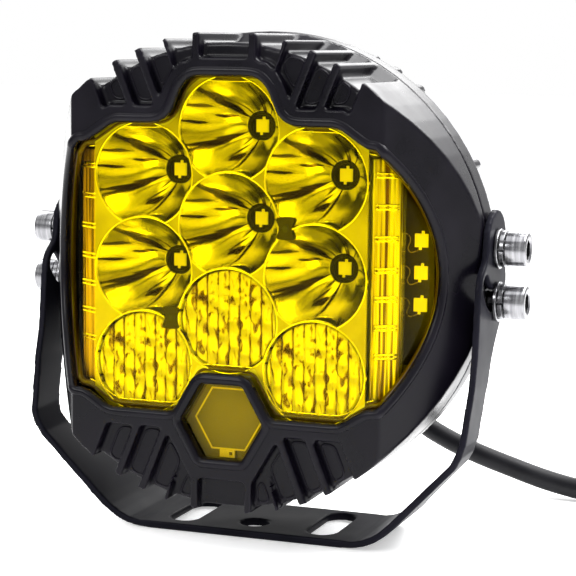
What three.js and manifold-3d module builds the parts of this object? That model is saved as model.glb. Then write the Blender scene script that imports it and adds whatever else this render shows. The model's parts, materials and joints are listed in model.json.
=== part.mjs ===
// A round LED fog light: a finned cast head on a tilting U-shaped bracket, with a pigtail lead.
//
// Millimetres, +Z up, the light shining towards -Y. Every piece is shaped in the head's own
// frame: its origin is the middle of the front face, X to the right, Y to the back, Z up.
// The last lines set that frame down so that the origin is under the middle of the object,
// on the surface that the bracket's foot stands on.

import * as THREE from "three";
import { mergeVertices } from "three/addons/utils/BufferGeometryUtils.js";
import Module from "manifold-3d";

const wasm = await Module();
wasm.setup();

// ---------------------------------------------------------------- driving dimensions

const GAP = 0.3; // left between pieces that touch

// Head casting
const HEAD_R = 89;
const FOLD_X = 61; // where the flat face turns into a side bevel
const RIM_Y = 44; // depth at which a bevel meets the round side wall
const SPLIT_Y = 46; // joint between bezel and rear housing
const SKIN = 4.5; // bezel wall over the bevels and round the window
const FACE_T = 10; // bezel plate behind the finned parts of the face
const CAVITY_R = 79;
const FLAT_X = 87; // side flats under the bracket's ears
const ARC_STEPS = 72;

// Bezel window
const CUP_PITCH_X = 34;
const CUP_PITCH_Z = 35.4;
const CUP_TOP_Z = 1.5 * CUP_PITCH_Z;
const WINDOW_TOP = 56;
const LOBE_HALF = [ // right half of the bulge round the top cup, upward
  [28, WINDOW_TOP], [24.6, 57], [22, 59.2], [20.3, 62.4], [18.8, 66.6], [16.8, 70], [13.8, 72.7],
  [10.5, 73.6],
];
const WINDOW_BOTTOM = -53;
const SIDE_WINDOW_R = 76;
const BADGE_Z = -54.8;
const BADGE_RIDGE_R = 20;
const BADGE_OPENING_R = 16.2;
const BADGE_SEAT_R = BADGE_OPENING_R + 2.2; // wider part behind the badge lens
const BADGE_SEAT_Y = 4.2;

// Cooling fins on the bezel: outer tips' distance from the middle, top and bottom
const FIN_TIPS_TOP = [12.6, 24.5, 35.6, 44.8, 52.8];
const FIN_TIPS_BOTTOM = [12.2, 23.2, 33.8, 43.5, 52];
const FIN_T = 3;
const FIN_LEAN = THREE.MathUtils.degToRad(22);
const CHANNEL_FLOOR_TOP = 84.8; // distance from the middle to the channels' floors
const CHANNEL_FLOOR_BOTTOM = 87.2;
const POCKET_DEPTH = 4.6;
const FRAME_WIDTH = 5.4; // smooth band left round the window
const LOBE_BAND = 5.4;
const BADGE_BAND_R = 25;

// Optics
const LENS_T = 2.2;
const LENS_DEPTH = 3; // lens surface behind the bezel's face
const FLANGE_GROW = 3.6; // how far the lens flange and its seal reach past the window
const FLANGE_DEPTH = 6.2;
const FLANGE_T = 1.8;
const GASKET_DEPTH = 4.8;
const GASKET_T = 1.1;
const CUP_R = 19.8;
const CUP_RIM_Y = 6.3;
const CUP_FLOOR_Y = 40;
const CUP_HOLE_R = 5;
const CUP_WALL = 1.3;
const RECESS_SPOTS = [[22.6, 0.5 * CUP_PITCH_Z], [-22.6, -0.5 * CUP_PITCH_Z]];
const RECESS_R = 5.5;
const OPTIC_R = CUP_R - 1.6;
const FLUTE_PITCH = 3.4;
const FLUTES = 9;
const LED_SIZE = 5;
const BOARD_Y = 41.8;
const BOARD_T = 1.6;
const BOARD_R = 70;
const BOARD_HALF = 62; // flat sides of the board
const GUIDE_X = [55.4, 63.6];
const GUIDE_FRONT_Y = 10.6;
const GUIDE_BACK_Y = 24;
const GUIDE_HALF_HEIGHT = 44;
const SIDE_BOARD_Y = 33;
const SIDE_LED_X = 66.5;
const SIDE_LED_HEIGHTS = [13, 1, -11];
const SPREADER_Y = 44.8;
const SPREADER_T = 5;

// Rear housing
const SCREW_CIRCLE_R = 84;
const SCREW_ANGLE = THREE.MathUtils.degToRad(50); // from straight up
const SCREW_R = 2;
const SCREW_HOLE_R = 2.3;
const SCREW_HEAD_R = 3.6;
const SCREW_BOSS_R = 4.6;
const SCREW_SEAT_R = 4.4;
const WALL_BACK_Y = 60;
const CAN_R = 80;
const CAN_BACK_Y = 82;
const RIB_R = 88;
const RIB_ANGLES = [17.3, 24.3, 31.1, 38.5, 62.8, 77];
const COOLING_FIN_PITCH = 12;
const COOLING_FINS = 11;
const VENT_X = -2.5 * COOLING_FIN_PITCH;
const BACK_Y = 88;
const GLAND_X = 15;
const GLAND_Z = -44;
const NUT_END_Y = 93;

// Bracket and its bolts
const PIVOT_Y = 54;
const PIVOT_Z = 9;
const LOCK_DROP = 20; // from the pivot bolt down to the lock bolt
const TILT_DOWN = 15;
const TILT_UP = 45;
const PLATE_T = 2.5;
const EAR_X = 87.3; // inner face of an ear
const FOOT_Z = -104;
const FOOT_HOLE_R = 5.9;
const FOOT_HOLE_Y = 36.5;
const FOOT_SLOT_X = 28.5;
const FOOT_SLOT_HALF = 5.9; // half its width
const FOOT_SLOT_FRONT = 34.5; // middles of its round ends
const FOOT_SLOT_BACK = 57.5;
const BOLT_R = 3.8;
const BOLT_HEAD_R = 6.5;
const SPRING_WASHER_R = 6.9;
const FLAT_WASHER_R = 7.6;
const SLOT_HALF = 4.3;

// Lead
const CABLE_D = 8.6;
const CABLE_ROUTE = [
  [15, 93.3, -44], [15, 103, -44.2], [15.5, 113, -46.5], [18, 123, -52], [22.5, 131.5, -60.5],
  [29.5, 137.5, -70], [39, 139.5, -78.5], [51, 137.5, -84], [64, 135.5, -88.3], [78, 135, -92.5],
  [92, 135, -96.5], [106, 134.5, -99.2], [120, 131.5, -99.7], [132, 124, -99.7],
  [140, 112.5, -99.7], [143.3, 98.5, -99.7], [144, 84, -99.4], [144.2, 70, -97.6],
  [144.3, 57, -96.5],
];

// ---------------------------------------------------------------- solids

function toSolid(geometry) {
  geometry.deleteAttribute("normal");
  geometry.deleteAttribute("uv");
  const merged = mergeVertices(geometry, 1e-4);
  return new wasm.Manifold(new wasm.Mesh({
    numProp: 3,
    vertProperties: new Float32Array(merged.attributes.position.array),
    triVerts: new Uint32Array(merged.index.array),
  }));
}

function toGeometry(solid) {
  const mesh = solid.getMesh();
  const geometry = new THREE.BufferGeometry();
  geometry.setAttribute("position", new THREE.BufferAttribute(mesh.vertProperties, 3));
  geometry.setIndex(new THREE.BufferAttribute(mesh.triVerts, 1));
  geometry.computeVertexNormals();
  return geometry;
}

function outline(points) {
  return new THREE.Shape(points.map(([a, b]) => new THREE.Vector2(a, b)));
}

function extrude(shape, depth, curveSegments = 6) {
  return new THREE.ExtrudeGeometry(shape, { depth, bevelEnabled: false, curveSegments });
}

// A shape drawn in (x, z), from y0 to y1
function alongY(shape, y0, y1, curveSegments) {
  return toSolid(extrude(shape, y1 - y0, curveSegments).rotateX(Math.PI / 2).translate(0, y1, 0));
}

// A shape drawn in (x, y), from z0 to z1
function alongZ(shape, z0, z1) {
  return toSolid(extrude(shape, z1 - z0).translate(0, 0, z0));
}

// A shape drawn in (y, z), from x0 to x1
function alongX(shape, x0, x1, curveSegments) {
  const turn = new THREE.Matrix4().makeBasis(
    new THREE.Vector3(0, 1, 0), new THREE.Vector3(0, 0, 1), new THREE.Vector3(1, 0, 0));
  return toSolid(extrude(shape, x1 - x0, curveSegments).applyMatrix4(turn).translate(x0, 0, 0));
}

function cylinderY(radius, y0, y1, x = 0, z = 0, steps = 20) {
  return toSolid(new THREE.CylinderGeometry(radius, radius, y1 - y0, steps)
    .translate(x, (y0 + y1) / 2, z));
}

function cylinderX(radius, x0, x1, y, z, steps = 12) {
  return toSolid(new THREE.CylinderGeometry(radius, radius, x1 - x0, steps)
    .rotateZ(Math.PI / 2).translate((x0 + x1) / 2, y, z));
}

function box(x0, x1, y0, y1, z0, z1) {
  return toSolid(new THREE.BoxGeometry(x1 - x0, y1 - y0, z1 - z0)
    .translate((x0 + x1) / 2, (y0 + y1) / 2, (z0 + z1) / 2));
}

// A profile of [radius, y] points turned round an axis parallel to Y
function turned(profile, x, z, steps) {
  const points = profile.map(([r, y]) => new THREE.Vector2(r, y));
  return toSolid(new THREE.LatheGeometry(points, steps).translate(x, 0, z));
}

function hexagonCorners(radius) {
  const corners = Array.from({ length: 6 }, (_, i) => (i * Math.PI) / 3);
  return corners.map((a) => [radius * Math.cos(a), BADGE_Z + radius * Math.sin(a)]);
}

function hexagon(radius, y0, y1) {
  return alongY(outline(hexagonCorners(radius)), y0, y1);
}

function hexagonFlat(radius) {
  return new wasm.CrossSection([hexagonCorners(radius)]);
}

function joined(solids) {
  return solids.reduce((sum, solid) => sum.add(solid));
}

function mirrorX(solid) {
  return solid.mirror([1, 0, 0]);
}

// ---------------------------------------------------------------- shared outlines

const BEVEL_LENGTH = Math.hypot(HEAD_R - FOLD_X, RIM_Y);
const BEVEL_NX = RIM_Y / BEVEL_LENGTH;
const BEVEL_NY = (HEAD_R - FOLD_X) / BEVEL_LENGTH;

// Half width of the bevelled head at depth y, its surface moved inward by `inset`
function bevelX(inset, y) {
  return FOLD_X + (BEVEL_NY * y - inset) / BEVEL_NX;
}

// Everything behind the face and both bevels, each moved inward by `inset`
function envelope(inset, back) {
  const front = bevelX(inset, inset);
  const rear = bevelX(inset, back);
  return alongZ(outline([[-front, inset], [front, inset], [rear, back], [-rear, back]]), -100, 100);
}

function flatShape(points) {
  return new wasm.CrossSection([points]);
}

function bothSides(half) {
  return [...half, ...half.map(([x, z]) => [-x, z]).reverse()];
}

// The bulge of the window round the top cup
const lobeFlat = flatShape([...bothSides(LOBE_HALF), [-LOBE_HALF[0][0], 20], [LOBE_HALF[0][0], 20]]);

// The window's outline in (x, z): chamfered middle, round sides, lobe, and a notch for the badge
const windowFlat = (() => {
  const middle = flatShape(bothSides([
    [46, WINDOW_BOTTOM], [56, -46.5], [95, -46.5], [95, 48.5], [55, 48.5], [44, WINDOW_TOP],
  ]));
  const sides = wasm.CrossSection.circle(SIDE_WINDOW_R, ARC_STEPS);
  return middle.intersect(sides).add(lobeFlat).subtract(hexagonFlat(BADGE_RIDGE_R));
})();

function blockOf(flat, grow, y0, y1) {
  const grown = grow === 0 ? flat : flat.offset(grow, "Miter", 2, ARC_STEPS);
  return grown.extrude(y1 - y0).rotate([90, 0, 0]).translate([0, y1, 0]);
}

// The window's outline, grown by `grow`, as a block from y0 to y1
function windowBlock(grow, y0, y1) {
  return blockOf(windowFlat, grow, y0, y1);
}

const screwSpots = [[1, 1], [1, -1], [-1, 1], [-1, -1]].map(([sx, sz]) =>
  [sx * SCREW_CIRCLE_R * Math.sin(SCREW_ANGLE), sz * SCREW_CIRCLE_R * Math.cos(SCREW_ANGLE)]);

// ---------------------------------------------------------------- bezel

// The gap between two fins, drawn in (x, z) for the right half of the top
function finGap(innerTip, outerTip, innerLean, outerLean, finT) {
  const [low, high] = [50, 95];
  const edge = (tip, lean, z) => tip + (z - Math.sqrt(HEAD_R ** 2 - tip ** 2)) * Math.tan(lean);
  const outer = (z) => edge(outerTip, outerLean, z) - finT / Math.cos(outerLean);
  const inner = (z) => edge(innerTip, innerLean, z);
  return [[inner(low), low], [Math.max(outer(low), inner(low) + 0.5), low],
    [outer(high), high], [inner(high), high]];
}

function finGaps(tips) {
  const gaps = tips.slice(1).map((tip, i) =>
    finGap(tips[i], tip, i === 0 ? 0 : FIN_LEAN, FIN_LEAN, i === 3 ? 0 : FIN_T));
  const mirrored = gaps.map((gap) => gap.map(([x, z]) => [-x, z]).reverse());
  const half = tips[0] - FIN_T;
  return [...gaps, ...mirrored, [[-half, 50], [half, 50], [half, 95], [-half, 95]]];
}

// The pockets in the face and the channels over the round wall, one for each gap
function makeGrooves() {
  const kept = windowBlock(FRAME_WIDTH, -2, POCKET_DEPTH)
    .add(blockOf(lobeFlat, LOBE_BAND, -2, POCKET_DEPTH))
    .add(hexagon(BADGE_BAND_R, -2, POCKET_DEPTH));
  const cut = (gap, floorR) => {
    const floor = turned([[0, -3], [floorR, -3], [floorR, 36], [HEAD_R + 1, 47], [0, 47]],
      0, 0, ARC_STEPS);
    const pocket = alongY(outline(gap), -1, POCKET_DEPTH).subtract(kept);
    const channel = alongY(outline(gap), -1, SPLIT_Y - 0.5).subtract(floor);
    return pocket.add(channel);
  };
  const top = finGaps(FIN_TIPS_TOP).map((gap) => cut(gap, CHANNEL_FLOOR_TOP));
  const flip = (gap) => gap.map(([x, z]) => [x, -z]).reverse();
  const bottom = finGaps(FIN_TIPS_BOTTOM).map((gap) => cut(flip(gap), CHANNEL_FLOOR_BOTTOM));
  return joined([...top, ...bottom]);
}

function sideFlats(y0, y1) {
  return box(FLAT_X, 95, y0, y1, -30, 30).add(box(-95, -FLAT_X, y0, y1, -30, 30));
}

function makeBezel() {
  let body = envelope(0, SPLIT_Y).intersect(cylinderY(HEAD_R, 0, SPLIT_Y, 0, 0, ARC_STEPS));
  body = body.subtract(windowBlock(0, -1, SPLIT_Y + 1));
  body = body.subtract(hexagon(BADGE_OPENING_R, -1, 20));
  body = body.subtract(envelope(SKIN, SPLIT_Y + 1).intersect(windowBlock(4.8, 0, SPLIT_Y + 1)));
  body = body.subtract(envelope(SKIN, SPLIT_Y + 1)
    .intersect(cylinderY(CAVITY_R, FACE_T, SPLIT_Y + 1, 0, 0, ARC_STEPS)));
  body = body.subtract(hexagon(BADGE_SEAT_R, BADGE_SEAT_Y, 20));
  body = body.subtract(makeGrooves()).subtract(sideFlats(-1, SPLIT_Y + 1));
  for (const [x, z] of screwSpots) body = body.subtract(cylinderY(SCREW_HOLE_R, 33, SPLIT_Y + 1, x, z, 12));
  return body;
}

// ---------------------------------------------------------------- lens and its seal

function shellLayer(depth, thickness, block) {
  return block.intersect(envelope(depth, 60)).subtract(envelope(depth + thickness, 61));
}

function makeLens() {
  const raised = shellLayer(LENS_DEPTH, 5, windowBlock(-0.5, 0, 50));
  const hollow = envelope(LENS_DEPTH + LENS_T, 60).intersect(windowBlock(-0.5 - LENS_T, 0, 50));
  const flange = shellLayer(FLANGE_DEPTH, FLANGE_T, windowBlock(FLANGE_GROW, 0, 50));
  return raised.add(flange).subtract(hollow).intersect(cylinderY(CAVITY_R, 0, 50, 0, 0, ARC_STEPS));
}

function makeGasket() {
  return shellLayer(GASKET_DEPTH, GASKET_T, windowBlock(FLANGE_GROW, 0, 50))
    .subtract(windowBlock(0.8, -1, 51));
}

// ---------------------------------------------------------------- reflectors and light sources

const cupSpots = [];
for (const [column, topZ] of [[-1, CUP_PITCH_Z], [0, CUP_TOP_Z], [1, CUP_PITCH_Z]]) {
  for (let row = 0; row < 3; row += 1) {
    cupSpots.push([column * CUP_PITCH_X, topZ - row * CUP_PITCH_Z, row]);
  }
}
const opticSpots = cupSpots.filter(([, , row]) => row === 2);

// A paraboloid from the hole at the floor to the rim, as [radius, y] points
function cupProfile(grow, steps) {
  const fall = (CUP_FLOOR_Y - CUP_RIM_Y) / (CUP_R ** 2 - CUP_HOLE_R ** 2);
  return Array.from({ length: steps + 1 }, (_, i) => {
    const r = CUP_HOLE_R + ((CUP_R - CUP_HOLE_R) * i) / steps;
    return [r + grow, CUP_FLOOR_Y - fall * (r ** 2 - CUP_HOLE_R ** 2)];
  });
}

function cupHollow(x, z) {
  const profile = cupProfile(0, 4);
  return turned([[0, 42], [CUP_HOLE_R, 42], ...profile, [CUP_R, 0], [0, 0]].reverse(), x, z, 18);
}

function cupShell(x, z) {
  const profile = cupProfile(CUP_WALL, 2);
  return turned([[0, CUP_FLOOR_Y + 0.8], [CUP_HOLE_R + CUP_WALL, CUP_FLOOR_Y + 0.8],
    ...profile, [0, CUP_RIM_Y]].reverse(), x, z, 14);
}

function makeReflector() {
  const inside = windowBlock(-LENS_T - 1.5, CUP_RIM_Y, CUP_RIM_Y + 2)
    .intersect(box(-54.5, 54.5, 0, 20, -90, 90));
  const holes = joined(RECESS_SPOTS.map(([x, z]) => cylinderY(RECESS_R, 0, 20, x, z, 16)));
  const trim = windowBlock(-LENS_T - 1.2, 0, 60).intersect(box(-54.8, 54.8, 0, 60, -90, 90));
  const shells = joined(cupSpots.map(([x, z]) => cupShell(x, z))).intersect(trim);
  return inside.subtract(holes).add(shells)
    .subtract(joined(cupSpots.map(([x, z]) => cupHollow(x, z))));
}

// A round spread optic with upright flutes on its face, set in the mouth of a cup
function makeOptic(x, z) {
  const disc = cylinderY(OPTIC_R, CUP_RIM_Y + 0.4, CUP_RIM_Y + 3, x, z, 24);
  const half = FLUTE_PITCH / 2 - 0.2;
  const flutes = Array.from({ length: FLUTES }, (_, i) => {
    const middle = x + (i - (FLUTES - 1) / 2) * FLUTE_PITCH;
    return alongZ(outline([[middle - half, CUP_RIM_Y + 0.6], [middle, CUP_RIM_Y - 0.6],
      [middle + half, CUP_RIM_Y + 0.6]]), z - OPTIC_R, z + OPTIC_R);
  });
  const face = joined(flutes).intersect(cylinderY(OPTIC_R - 0.8, 0, 20, x, z, 24));
  const neighbours = cupSpots.filter(([nx, nz]) => Math.hypot(nx - x, nz - z) > 1);
  const room = joined(neighbours.map(([nx, nz]) => cylinderY(CUP_R + 0.1, 0, 30, nx, nz, 24)));
  const mouth = windowBlock(-LENS_T - 1.5, 0, 30);
  return disc.add(face).subtract(room).intersect(mouth);
}

function makeLed(size, y, x, z) {
  const base = box(x - size / 2, x + size / 2, y - 1.2, y, z - size / 2, z + size / 2);
  return base.add(cylinderY(size * 0.36, y - 1.7, y - 1, x, z, 8));
}

function makeLedBoard() {
  return cylinderY(BOARD_R, BOARD_Y, BOARD_Y + BOARD_T, 0, 0, 56)
    .intersect(box(-BOARD_HALF, BOARD_HALF, 0, 60, -BOARD_R, BOARD_R))
    .subtract(cylinderY(5, 40, 50, 0, -62, 16));
}

function makeThermalPad() {
  return cylinderY(BOARD_R - 2, BOARD_Y + BOARD_T + GAP, SPREADER_Y - GAP, 0, 0, 40)
    .intersect(box(2 - BOARD_HALF, BOARD_HALF - 2, 0, 60, -BOARD_R, BOARD_R))
    .subtract(cylinderY(7, 40, 50, 0, -62, 16));
}

function makeSpreader() {
  return cylinderY(CAVITY_R - 0.6, SPREADER_Y, SPREADER_Y + SPREADER_T, 0, 0, 64)
    .intersect(box(-BOARD_HALF - 2, BOARD_HALF + 2, 0, 60, -80, 80))
    .subtract(cylinderY(6, 40, 55, 0, -62, 16));
}

// The daytime light bar behind one fold, its face fluted along its height
function makeLightGuide() {
  const steps = 4;
  const front = [];
  for (let i = 0; i <= steps; i += 1) {
    const x = GUIDE_X[0] + (i * (GUIDE_X[1] - GUIDE_X[0])) / steps;
    front.push([x, GUIDE_FRONT_Y + i * 1.6]);
    if (i < steps) front.push([x + 0.9, GUIDE_FRONT_Y - 0.9 + i * 1.6]);
  }
  const back = [[GUIDE_X[1], GUIDE_BACK_Y], [GUIDE_X[0], GUIDE_BACK_Y]];
  return alongZ(outline([...front, ...back]), -GUIDE_HALF_HEIGHT, GUIDE_HALF_HEIGHT)
    .intersect(cylinderY(SIDE_WINDOW_R - 4, 0, 60, 0, 0, 56));
}

function makeSideBoard() {
  return cylinderY(SIDE_WINDOW_R - 1, SIDE_BOARD_Y, SIDE_BOARD_Y + BOARD_T, 0, 0, 64)
    .intersect(box(56, 76, 0, 60, -34, 34)).intersect(envelope(9, 60));
}

// ---------------------------------------------------------------- badge

function makeBadgeClip() {
  return box(-3, 3, 6.8, 8, -69.2, -66.5).subtract(box(0.8, 2, 6, 9, -68.5, -67.1));
}

// ---------------------------------------------------------------- rear housing

function rib(angle) {
  const half = 1.6;
  const side = [[70, WALL_BACK_Y - 3], [RIB_R, WALL_BACK_Y - 3], [RIB_R, 70], [RIB_R - 4, 79], [70, 79]];
  const block = alongX(outline(side.map(([r, y]) => [y, r])), -half, half);
  return block.rotate([0, angle, 0]);
}

function makeRearHousing() {
  const bolted = joined([1, -1].map((side) => {
    const [x0, x1] = side > 0 ? [66, FLAT_X] : [-FLAT_X, -66];
    return box(x0, x1, SPLIT_Y + GAP, 63, PIVOT_Z - LOCK_DROP - 9, PIVOT_Z + 9);
  }));
  const ring = turned([[0, SPLIT_Y + GAP], [HEAD_R, SPLIT_Y + GAP], [HEAD_R, WALL_BACK_Y - 1.5],
    [HEAD_R - 2.5, WALL_BACK_Y + 1], [CAN_R + 1.5, WALL_BACK_Y + 1], [CAN_R, CAN_BACK_Y - 4],
    [CAN_R - 4, CAN_BACK_Y], [0, CAN_BACK_Y]], 0, 0, ARC_STEPS);
  const angles = RIB_ANGLES.flatMap((a) => [a, -a, 180 - a, 180 + a]);
  const fins = Array.from({ length: COOLING_FINS },
    (_, i) => (i - (COOLING_FINS - 1) / 2) * COOLING_FIN_PITCH)
    .map((x) => box(x - 1.5, x + 1.5, CAN_BACK_Y - 1, BACK_Y, -80, 80));
  const finned = joined(fins).intersect(turned([[0, 70], [73, 70], [73, 84], [68, BACK_Y], [0, BACK_Y]],
    0, 0, 64)).subtract(cylinderY(12, 70, 95, GLAND_X, GLAND_Z));
  const hollow = turned([[0, 40], [CAVITY_R, 40], [CAVITY_R, 50.3], [74, 50.3], [74, 77], [0, 77]],
    0, 0, 64);
  let body = ring.add(joined(angles.map(rib))).subtract(sideFlats(40, 100));
  body = body.add(finned).subtract(hollow.subtract(bolted)).add(bolted);
  for (const side of [1, -1]) {
    for (const z of [PIVOT_Z, PIVOT_Z - LOCK_DROP]) {
      const [x0, x1] = side > 0 ? [70, 95] : [-95, -70];
      body = body.subtract(cylinderX(BOLT_R + GAP, x0, x1, PIVOT_Y, z));
    }
  }
  for (const [x, z] of screwSpots) {
    body = body.add(cylinderY(SCREW_BOSS_R, SPLIT_Y + GAP, WALL_BACK_Y + 1, x, z, 20))
      .subtract(cylinderY(SCREW_HOLE_R, 40, 70, x, z, 12))
      .subtract(cylinderY(SCREW_SEAT_R, WALL_BACK_Y - 2, 90, x, z, 20));
  }
  body = body.subtract(cylinderY(6.4, 70, 95, GLAND_X, GLAND_Z));
  return body.subtract(cylinderY(4.2, 70, 95, VENT_X, 0, 20));
}

function makeScrew(x, z) {
  const top = WALL_BACK_Y - 2 + GAP;
  return cylinderY(SCREW_R, 35, top + 1, x, z, 12)
    .add(cylinderY(SCREW_HEAD_R, top, top + 3, x, z, 20))
    .subtract(cylinderY(1.7, top + 1.2, top + 5, x, z, 6));
}

function makeBreather() {
  return cylinderY(3.8, 77.5, CAN_BACK_Y + 1, VENT_X, 0, 20)
    .add(turned([[0, CAN_BACK_Y + GAP], [4.3, CAN_BACK_Y + GAP], [4.3, 84.5], [3.4, 85.6], [0, 85.6]],
      VENT_X, 0, 20));
}

// ---------------------------------------------------------------- gland, lead and connector

function makeGland() {
  const flange = CAN_BACK_Y + GAP;
  return turned([[CABLE_D / 2 + 0.9, 76], [6, 76], [6, flange], [9.5, flange], [9.5, flange + 3],
    [6, flange + 3], [6, 90], [CABLE_D / 2 + 0.9, 90], [CABLE_D / 2 + 0.9, 76]],
  GLAND_X, GLAND_Z, 24);
}

function makeGlandNut() {
  const start = CAN_BACK_Y + 2 * GAP + 3;
  return turned([[6.3, start], [8.6, start], [8.6, 90], [6.6, NUT_END_Y], [4.9, NUT_END_Y],
    [4.9, 90.3], [6.3, 90.3], [6.3, start]], GLAND_X, GLAND_Z, 12);
}

function makeCable() {
  const path = new THREE.CatmullRomCurve3(CABLE_ROUTE.map((p) => new THREE.Vector3(...p)));
  const section = outline(Array.from({ length: 8 }, (_, i) => {
    const a = (i * Math.PI) / 4;
    return [(CABLE_D / 2) * Math.cos(a), (CABLE_D / 2) * Math.sin(a)];
  }));
  return new THREE.ExtrudeGeometry(section, { steps: 34, bevelEnabled: false, extrudePath: path });
}

// A two-pin plug lying on the surface beyond the end of the lead, along `heading`
function makeConnector() {
  const end = new THREE.Vector3(...CABLE_ROUTE.at(-1));
  const before = new THREE.Vector3(...CABLE_ROUTE.at(-2));
  const heading = Math.atan2(before.x - end.x, end.y - before.y);
  const clear = 1.5 * GAP;
  const body = joined([
    cylinderY(6, 0, 9, 0, 0, 20),
    box(-8.5, 8.5, 8, 24, -7.3, 7.3),
    box(-7, 7, 23, 40, -6, 6),
    box(-3, 3, 12, 36, 5, 8),
  ]).subtract(box(-5.4, 5.4, 30, 41, -4.4, 4.4));
  return body.rotate([0, 0, THREE.MathUtils.radToDeg(heading)])
    .translate([end.x - clear * Math.sin(heading), end.y + clear * Math.cos(heading), end.z]);
}

// ---------------------------------------------------------------- bracket

// The strip of sheet, seen from the front: ear, sloped shoulder and flat foot, then mirrored
function stripOutline() {
  const outer = [[EAR_X + PLATE_T, 30], [EAR_X + PLATE_T, -40], [88.4, -60], [86.9, -65], [84.4, -69.5],
    [60.5, -94.8], [57, -98], [53, -100.8], [48.5, -102.8], [44, -103.8], [40, FOOT_Z]];
  const inner = [[40, FOOT_Z + PLATE_T + 0.5], [43.6, -101.2], [47.6, -100.4], [51.5, -98.6],
    [55.1, -96.1], [58.3, -93.1],
    [82.4, -67.8], [84.4, -64], [85.9, -59.6], [EAR_X, -40], [EAR_X, 30]];
  const mirrored = (points) => points.map(([x, z]) => [-x, z]).reverse();
  return outline([...outer, ...mirrored(outer), ...mirrored(inner), ...inner]);
}

// The strip seen from the side: two round lobes, an arm that leans forward, and the foot
function sideOutline() {
  const shape = new THREE.Shape();
  shape.moveTo(PIVOT_Y - 12.6, PIVOT_Z + 7.4);
  shape.absarc(PIVOT_Y, PIVOT_Z, 14.6, 2.61, 0.53, true);
  shape.quadraticCurveTo(PIVOT_Y + 15.6, PIVOT_Z - 1, PIVOT_Y + 14.4, PIVOT_Z - 6);
  shape.quadraticCurveTo(PIVOT_Y + 17.5, PIVOT_Z - 20, PIVOT_Y + 8, PIVOT_Z - 29);
  shape.quadraticCurveTo(PIVOT_Y - 3, PIVOT_Z - 38, 47, -38);
  shape.quadraticCurveTo(42, -48, 38, -64);
  shape.quadraticCurveTo(44, -84, 68, -98);
  shape.lineTo(68, FOOT_Z - 1);
  shape.lineTo(23, FOOT_Z - 1);
  shape.lineTo(21, -90);
  shape.lineTo(18, -62);
  shape.lineTo(28, -28);
  shape.quadraticCurveTo(29.5, -14, 30.3, -8);
  shape.quadraticCurveTo(30.6, 0.5, 36.4, 3.4);
  shape.quadraticCurveTo(40, 5.4, 40.2, 9);
  return shape;
}

// The curved slot that the lock bolt slides in as the head tilts
function arcSlot() {
  const start = THREE.MathUtils.degToRad(-90 - TILT_UP - 5);
  const end = THREE.MathUtils.degToRad(-90 + TILT_DOWN + 3);
  const shape = new THREE.Shape();
  const at = (r, a) => [PIVOT_Y + r * Math.cos(a), PIVOT_Z + r * Math.sin(a)];
  shape.moveTo(...at(LOCK_DROP + SLOT_HALF, start));
  shape.absarc(PIVOT_Y, PIVOT_Z, LOCK_DROP + SLOT_HALF, start, end, false);
  shape.absarc(...at(LOCK_DROP, end), SLOT_HALF, end, end + Math.PI, false);
  shape.absarc(PIVOT_Y, PIVOT_Z, LOCK_DROP - SLOT_HALF, end, start, true);
  shape.absarc(...at(LOCK_DROP, start), SLOT_HALF, start + Math.PI, start + 2 * Math.PI, false);
  return shape;
}

// A straight slot in the foot with round ends, running front to back
function footSlot(side) {
  const shape = new THREE.Shape();
  const x = side * FOOT_SLOT_X;
  shape.moveTo(x + FOOT_SLOT_HALF, FOOT_SLOT_FRONT);
  shape.absarc(x, FOOT_SLOT_BACK, FOOT_SLOT_HALF, 0, Math.PI, false);
  shape.absarc(x, FOOT_SLOT_FRONT, FOOT_SLOT_HALF, Math.PI, 2 * Math.PI, false);
  return shape;
}

function makeBracket() {
  let body = alongY(stripOutline(), 0, 80).intersect(alongX(sideOutline(), -100, 100, 4));
  for (const [x0, x1] of [[80, 100], [-100, -80]]) {
    body = body.subtract(cylinderX(BOLT_R + 0.5, x0, x1, PIVOT_Y, PIVOT_Z));
    body = body.subtract(alongX(arcSlot(), x0, x1, 4));
  }
  const hole = new THREE.Shape().absarc(0, FOOT_HOLE_Y, FOOT_HOLE_R, 0, 2 * Math.PI, false);
  body = body.subtract(alongZ(hole, -120, -90));
  for (const side of [1, -1]) body = body.subtract(alongZ(footSlot(side), -120, -90));
  return body;
}

// ---------------------------------------------------------------- bolts and washers, right side

const WASHER_X = EAR_X + PLATE_T + 0.2;
const SPRING_X = WASHER_X + 1.7;
const BOLT_HEAD_X = SPRING_X + 2.2;
const BOLT_END_X = BOLT_HEAD_X + 8;

function makeBolt(z) {
  const shank = cylinderX(BOLT_R, 72, BOLT_HEAD_X + 1, PIVOT_Y, z);
  const head = cylinderX(BOLT_HEAD_R, BOLT_HEAD_X, BOLT_END_X, PIVOT_Y, z, 20);
  const socket = cylinderX(3.9, BOLT_END_X - 4, BOLT_END_X + 1, PIVOT_Y, z, 6);
  return shank.add(head).subtract(socket);
}

function makeSpringWasher(z) {
  const ring = cylinderX(SPRING_WASHER_R, SPRING_X, SPRING_X + 1.9, PIVOT_Y, z, 16)
    .subtract(cylinderX(BOLT_R + GAP, SPRING_X - 1, SPRING_X + 3, PIVOT_Y, z));
  return ring.subtract(box(SPRING_X - 1, SPRING_X + 3, PIVOT_Y - 8, PIVOT_Y, z - 0.5, z + 0.5));
}

function makeFlatWasher(z) {
  return cylinderX(FLAT_WASHER_R, WASHER_X, WASHER_X + 1.4, PIVOT_Y, z, 20)
    .subtract(cylinderX(BOLT_R + GAP, WASHER_X - 1, WASHER_X + 3, PIVOT_Y, z));
}

// ---------------------------------------------------------------- materials and assembly

function material(color, roughness, metalness, extra = {}) {
  return new THREE.MeshStandardMaterial({ color, roughness, metalness, ...extra });
}

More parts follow.
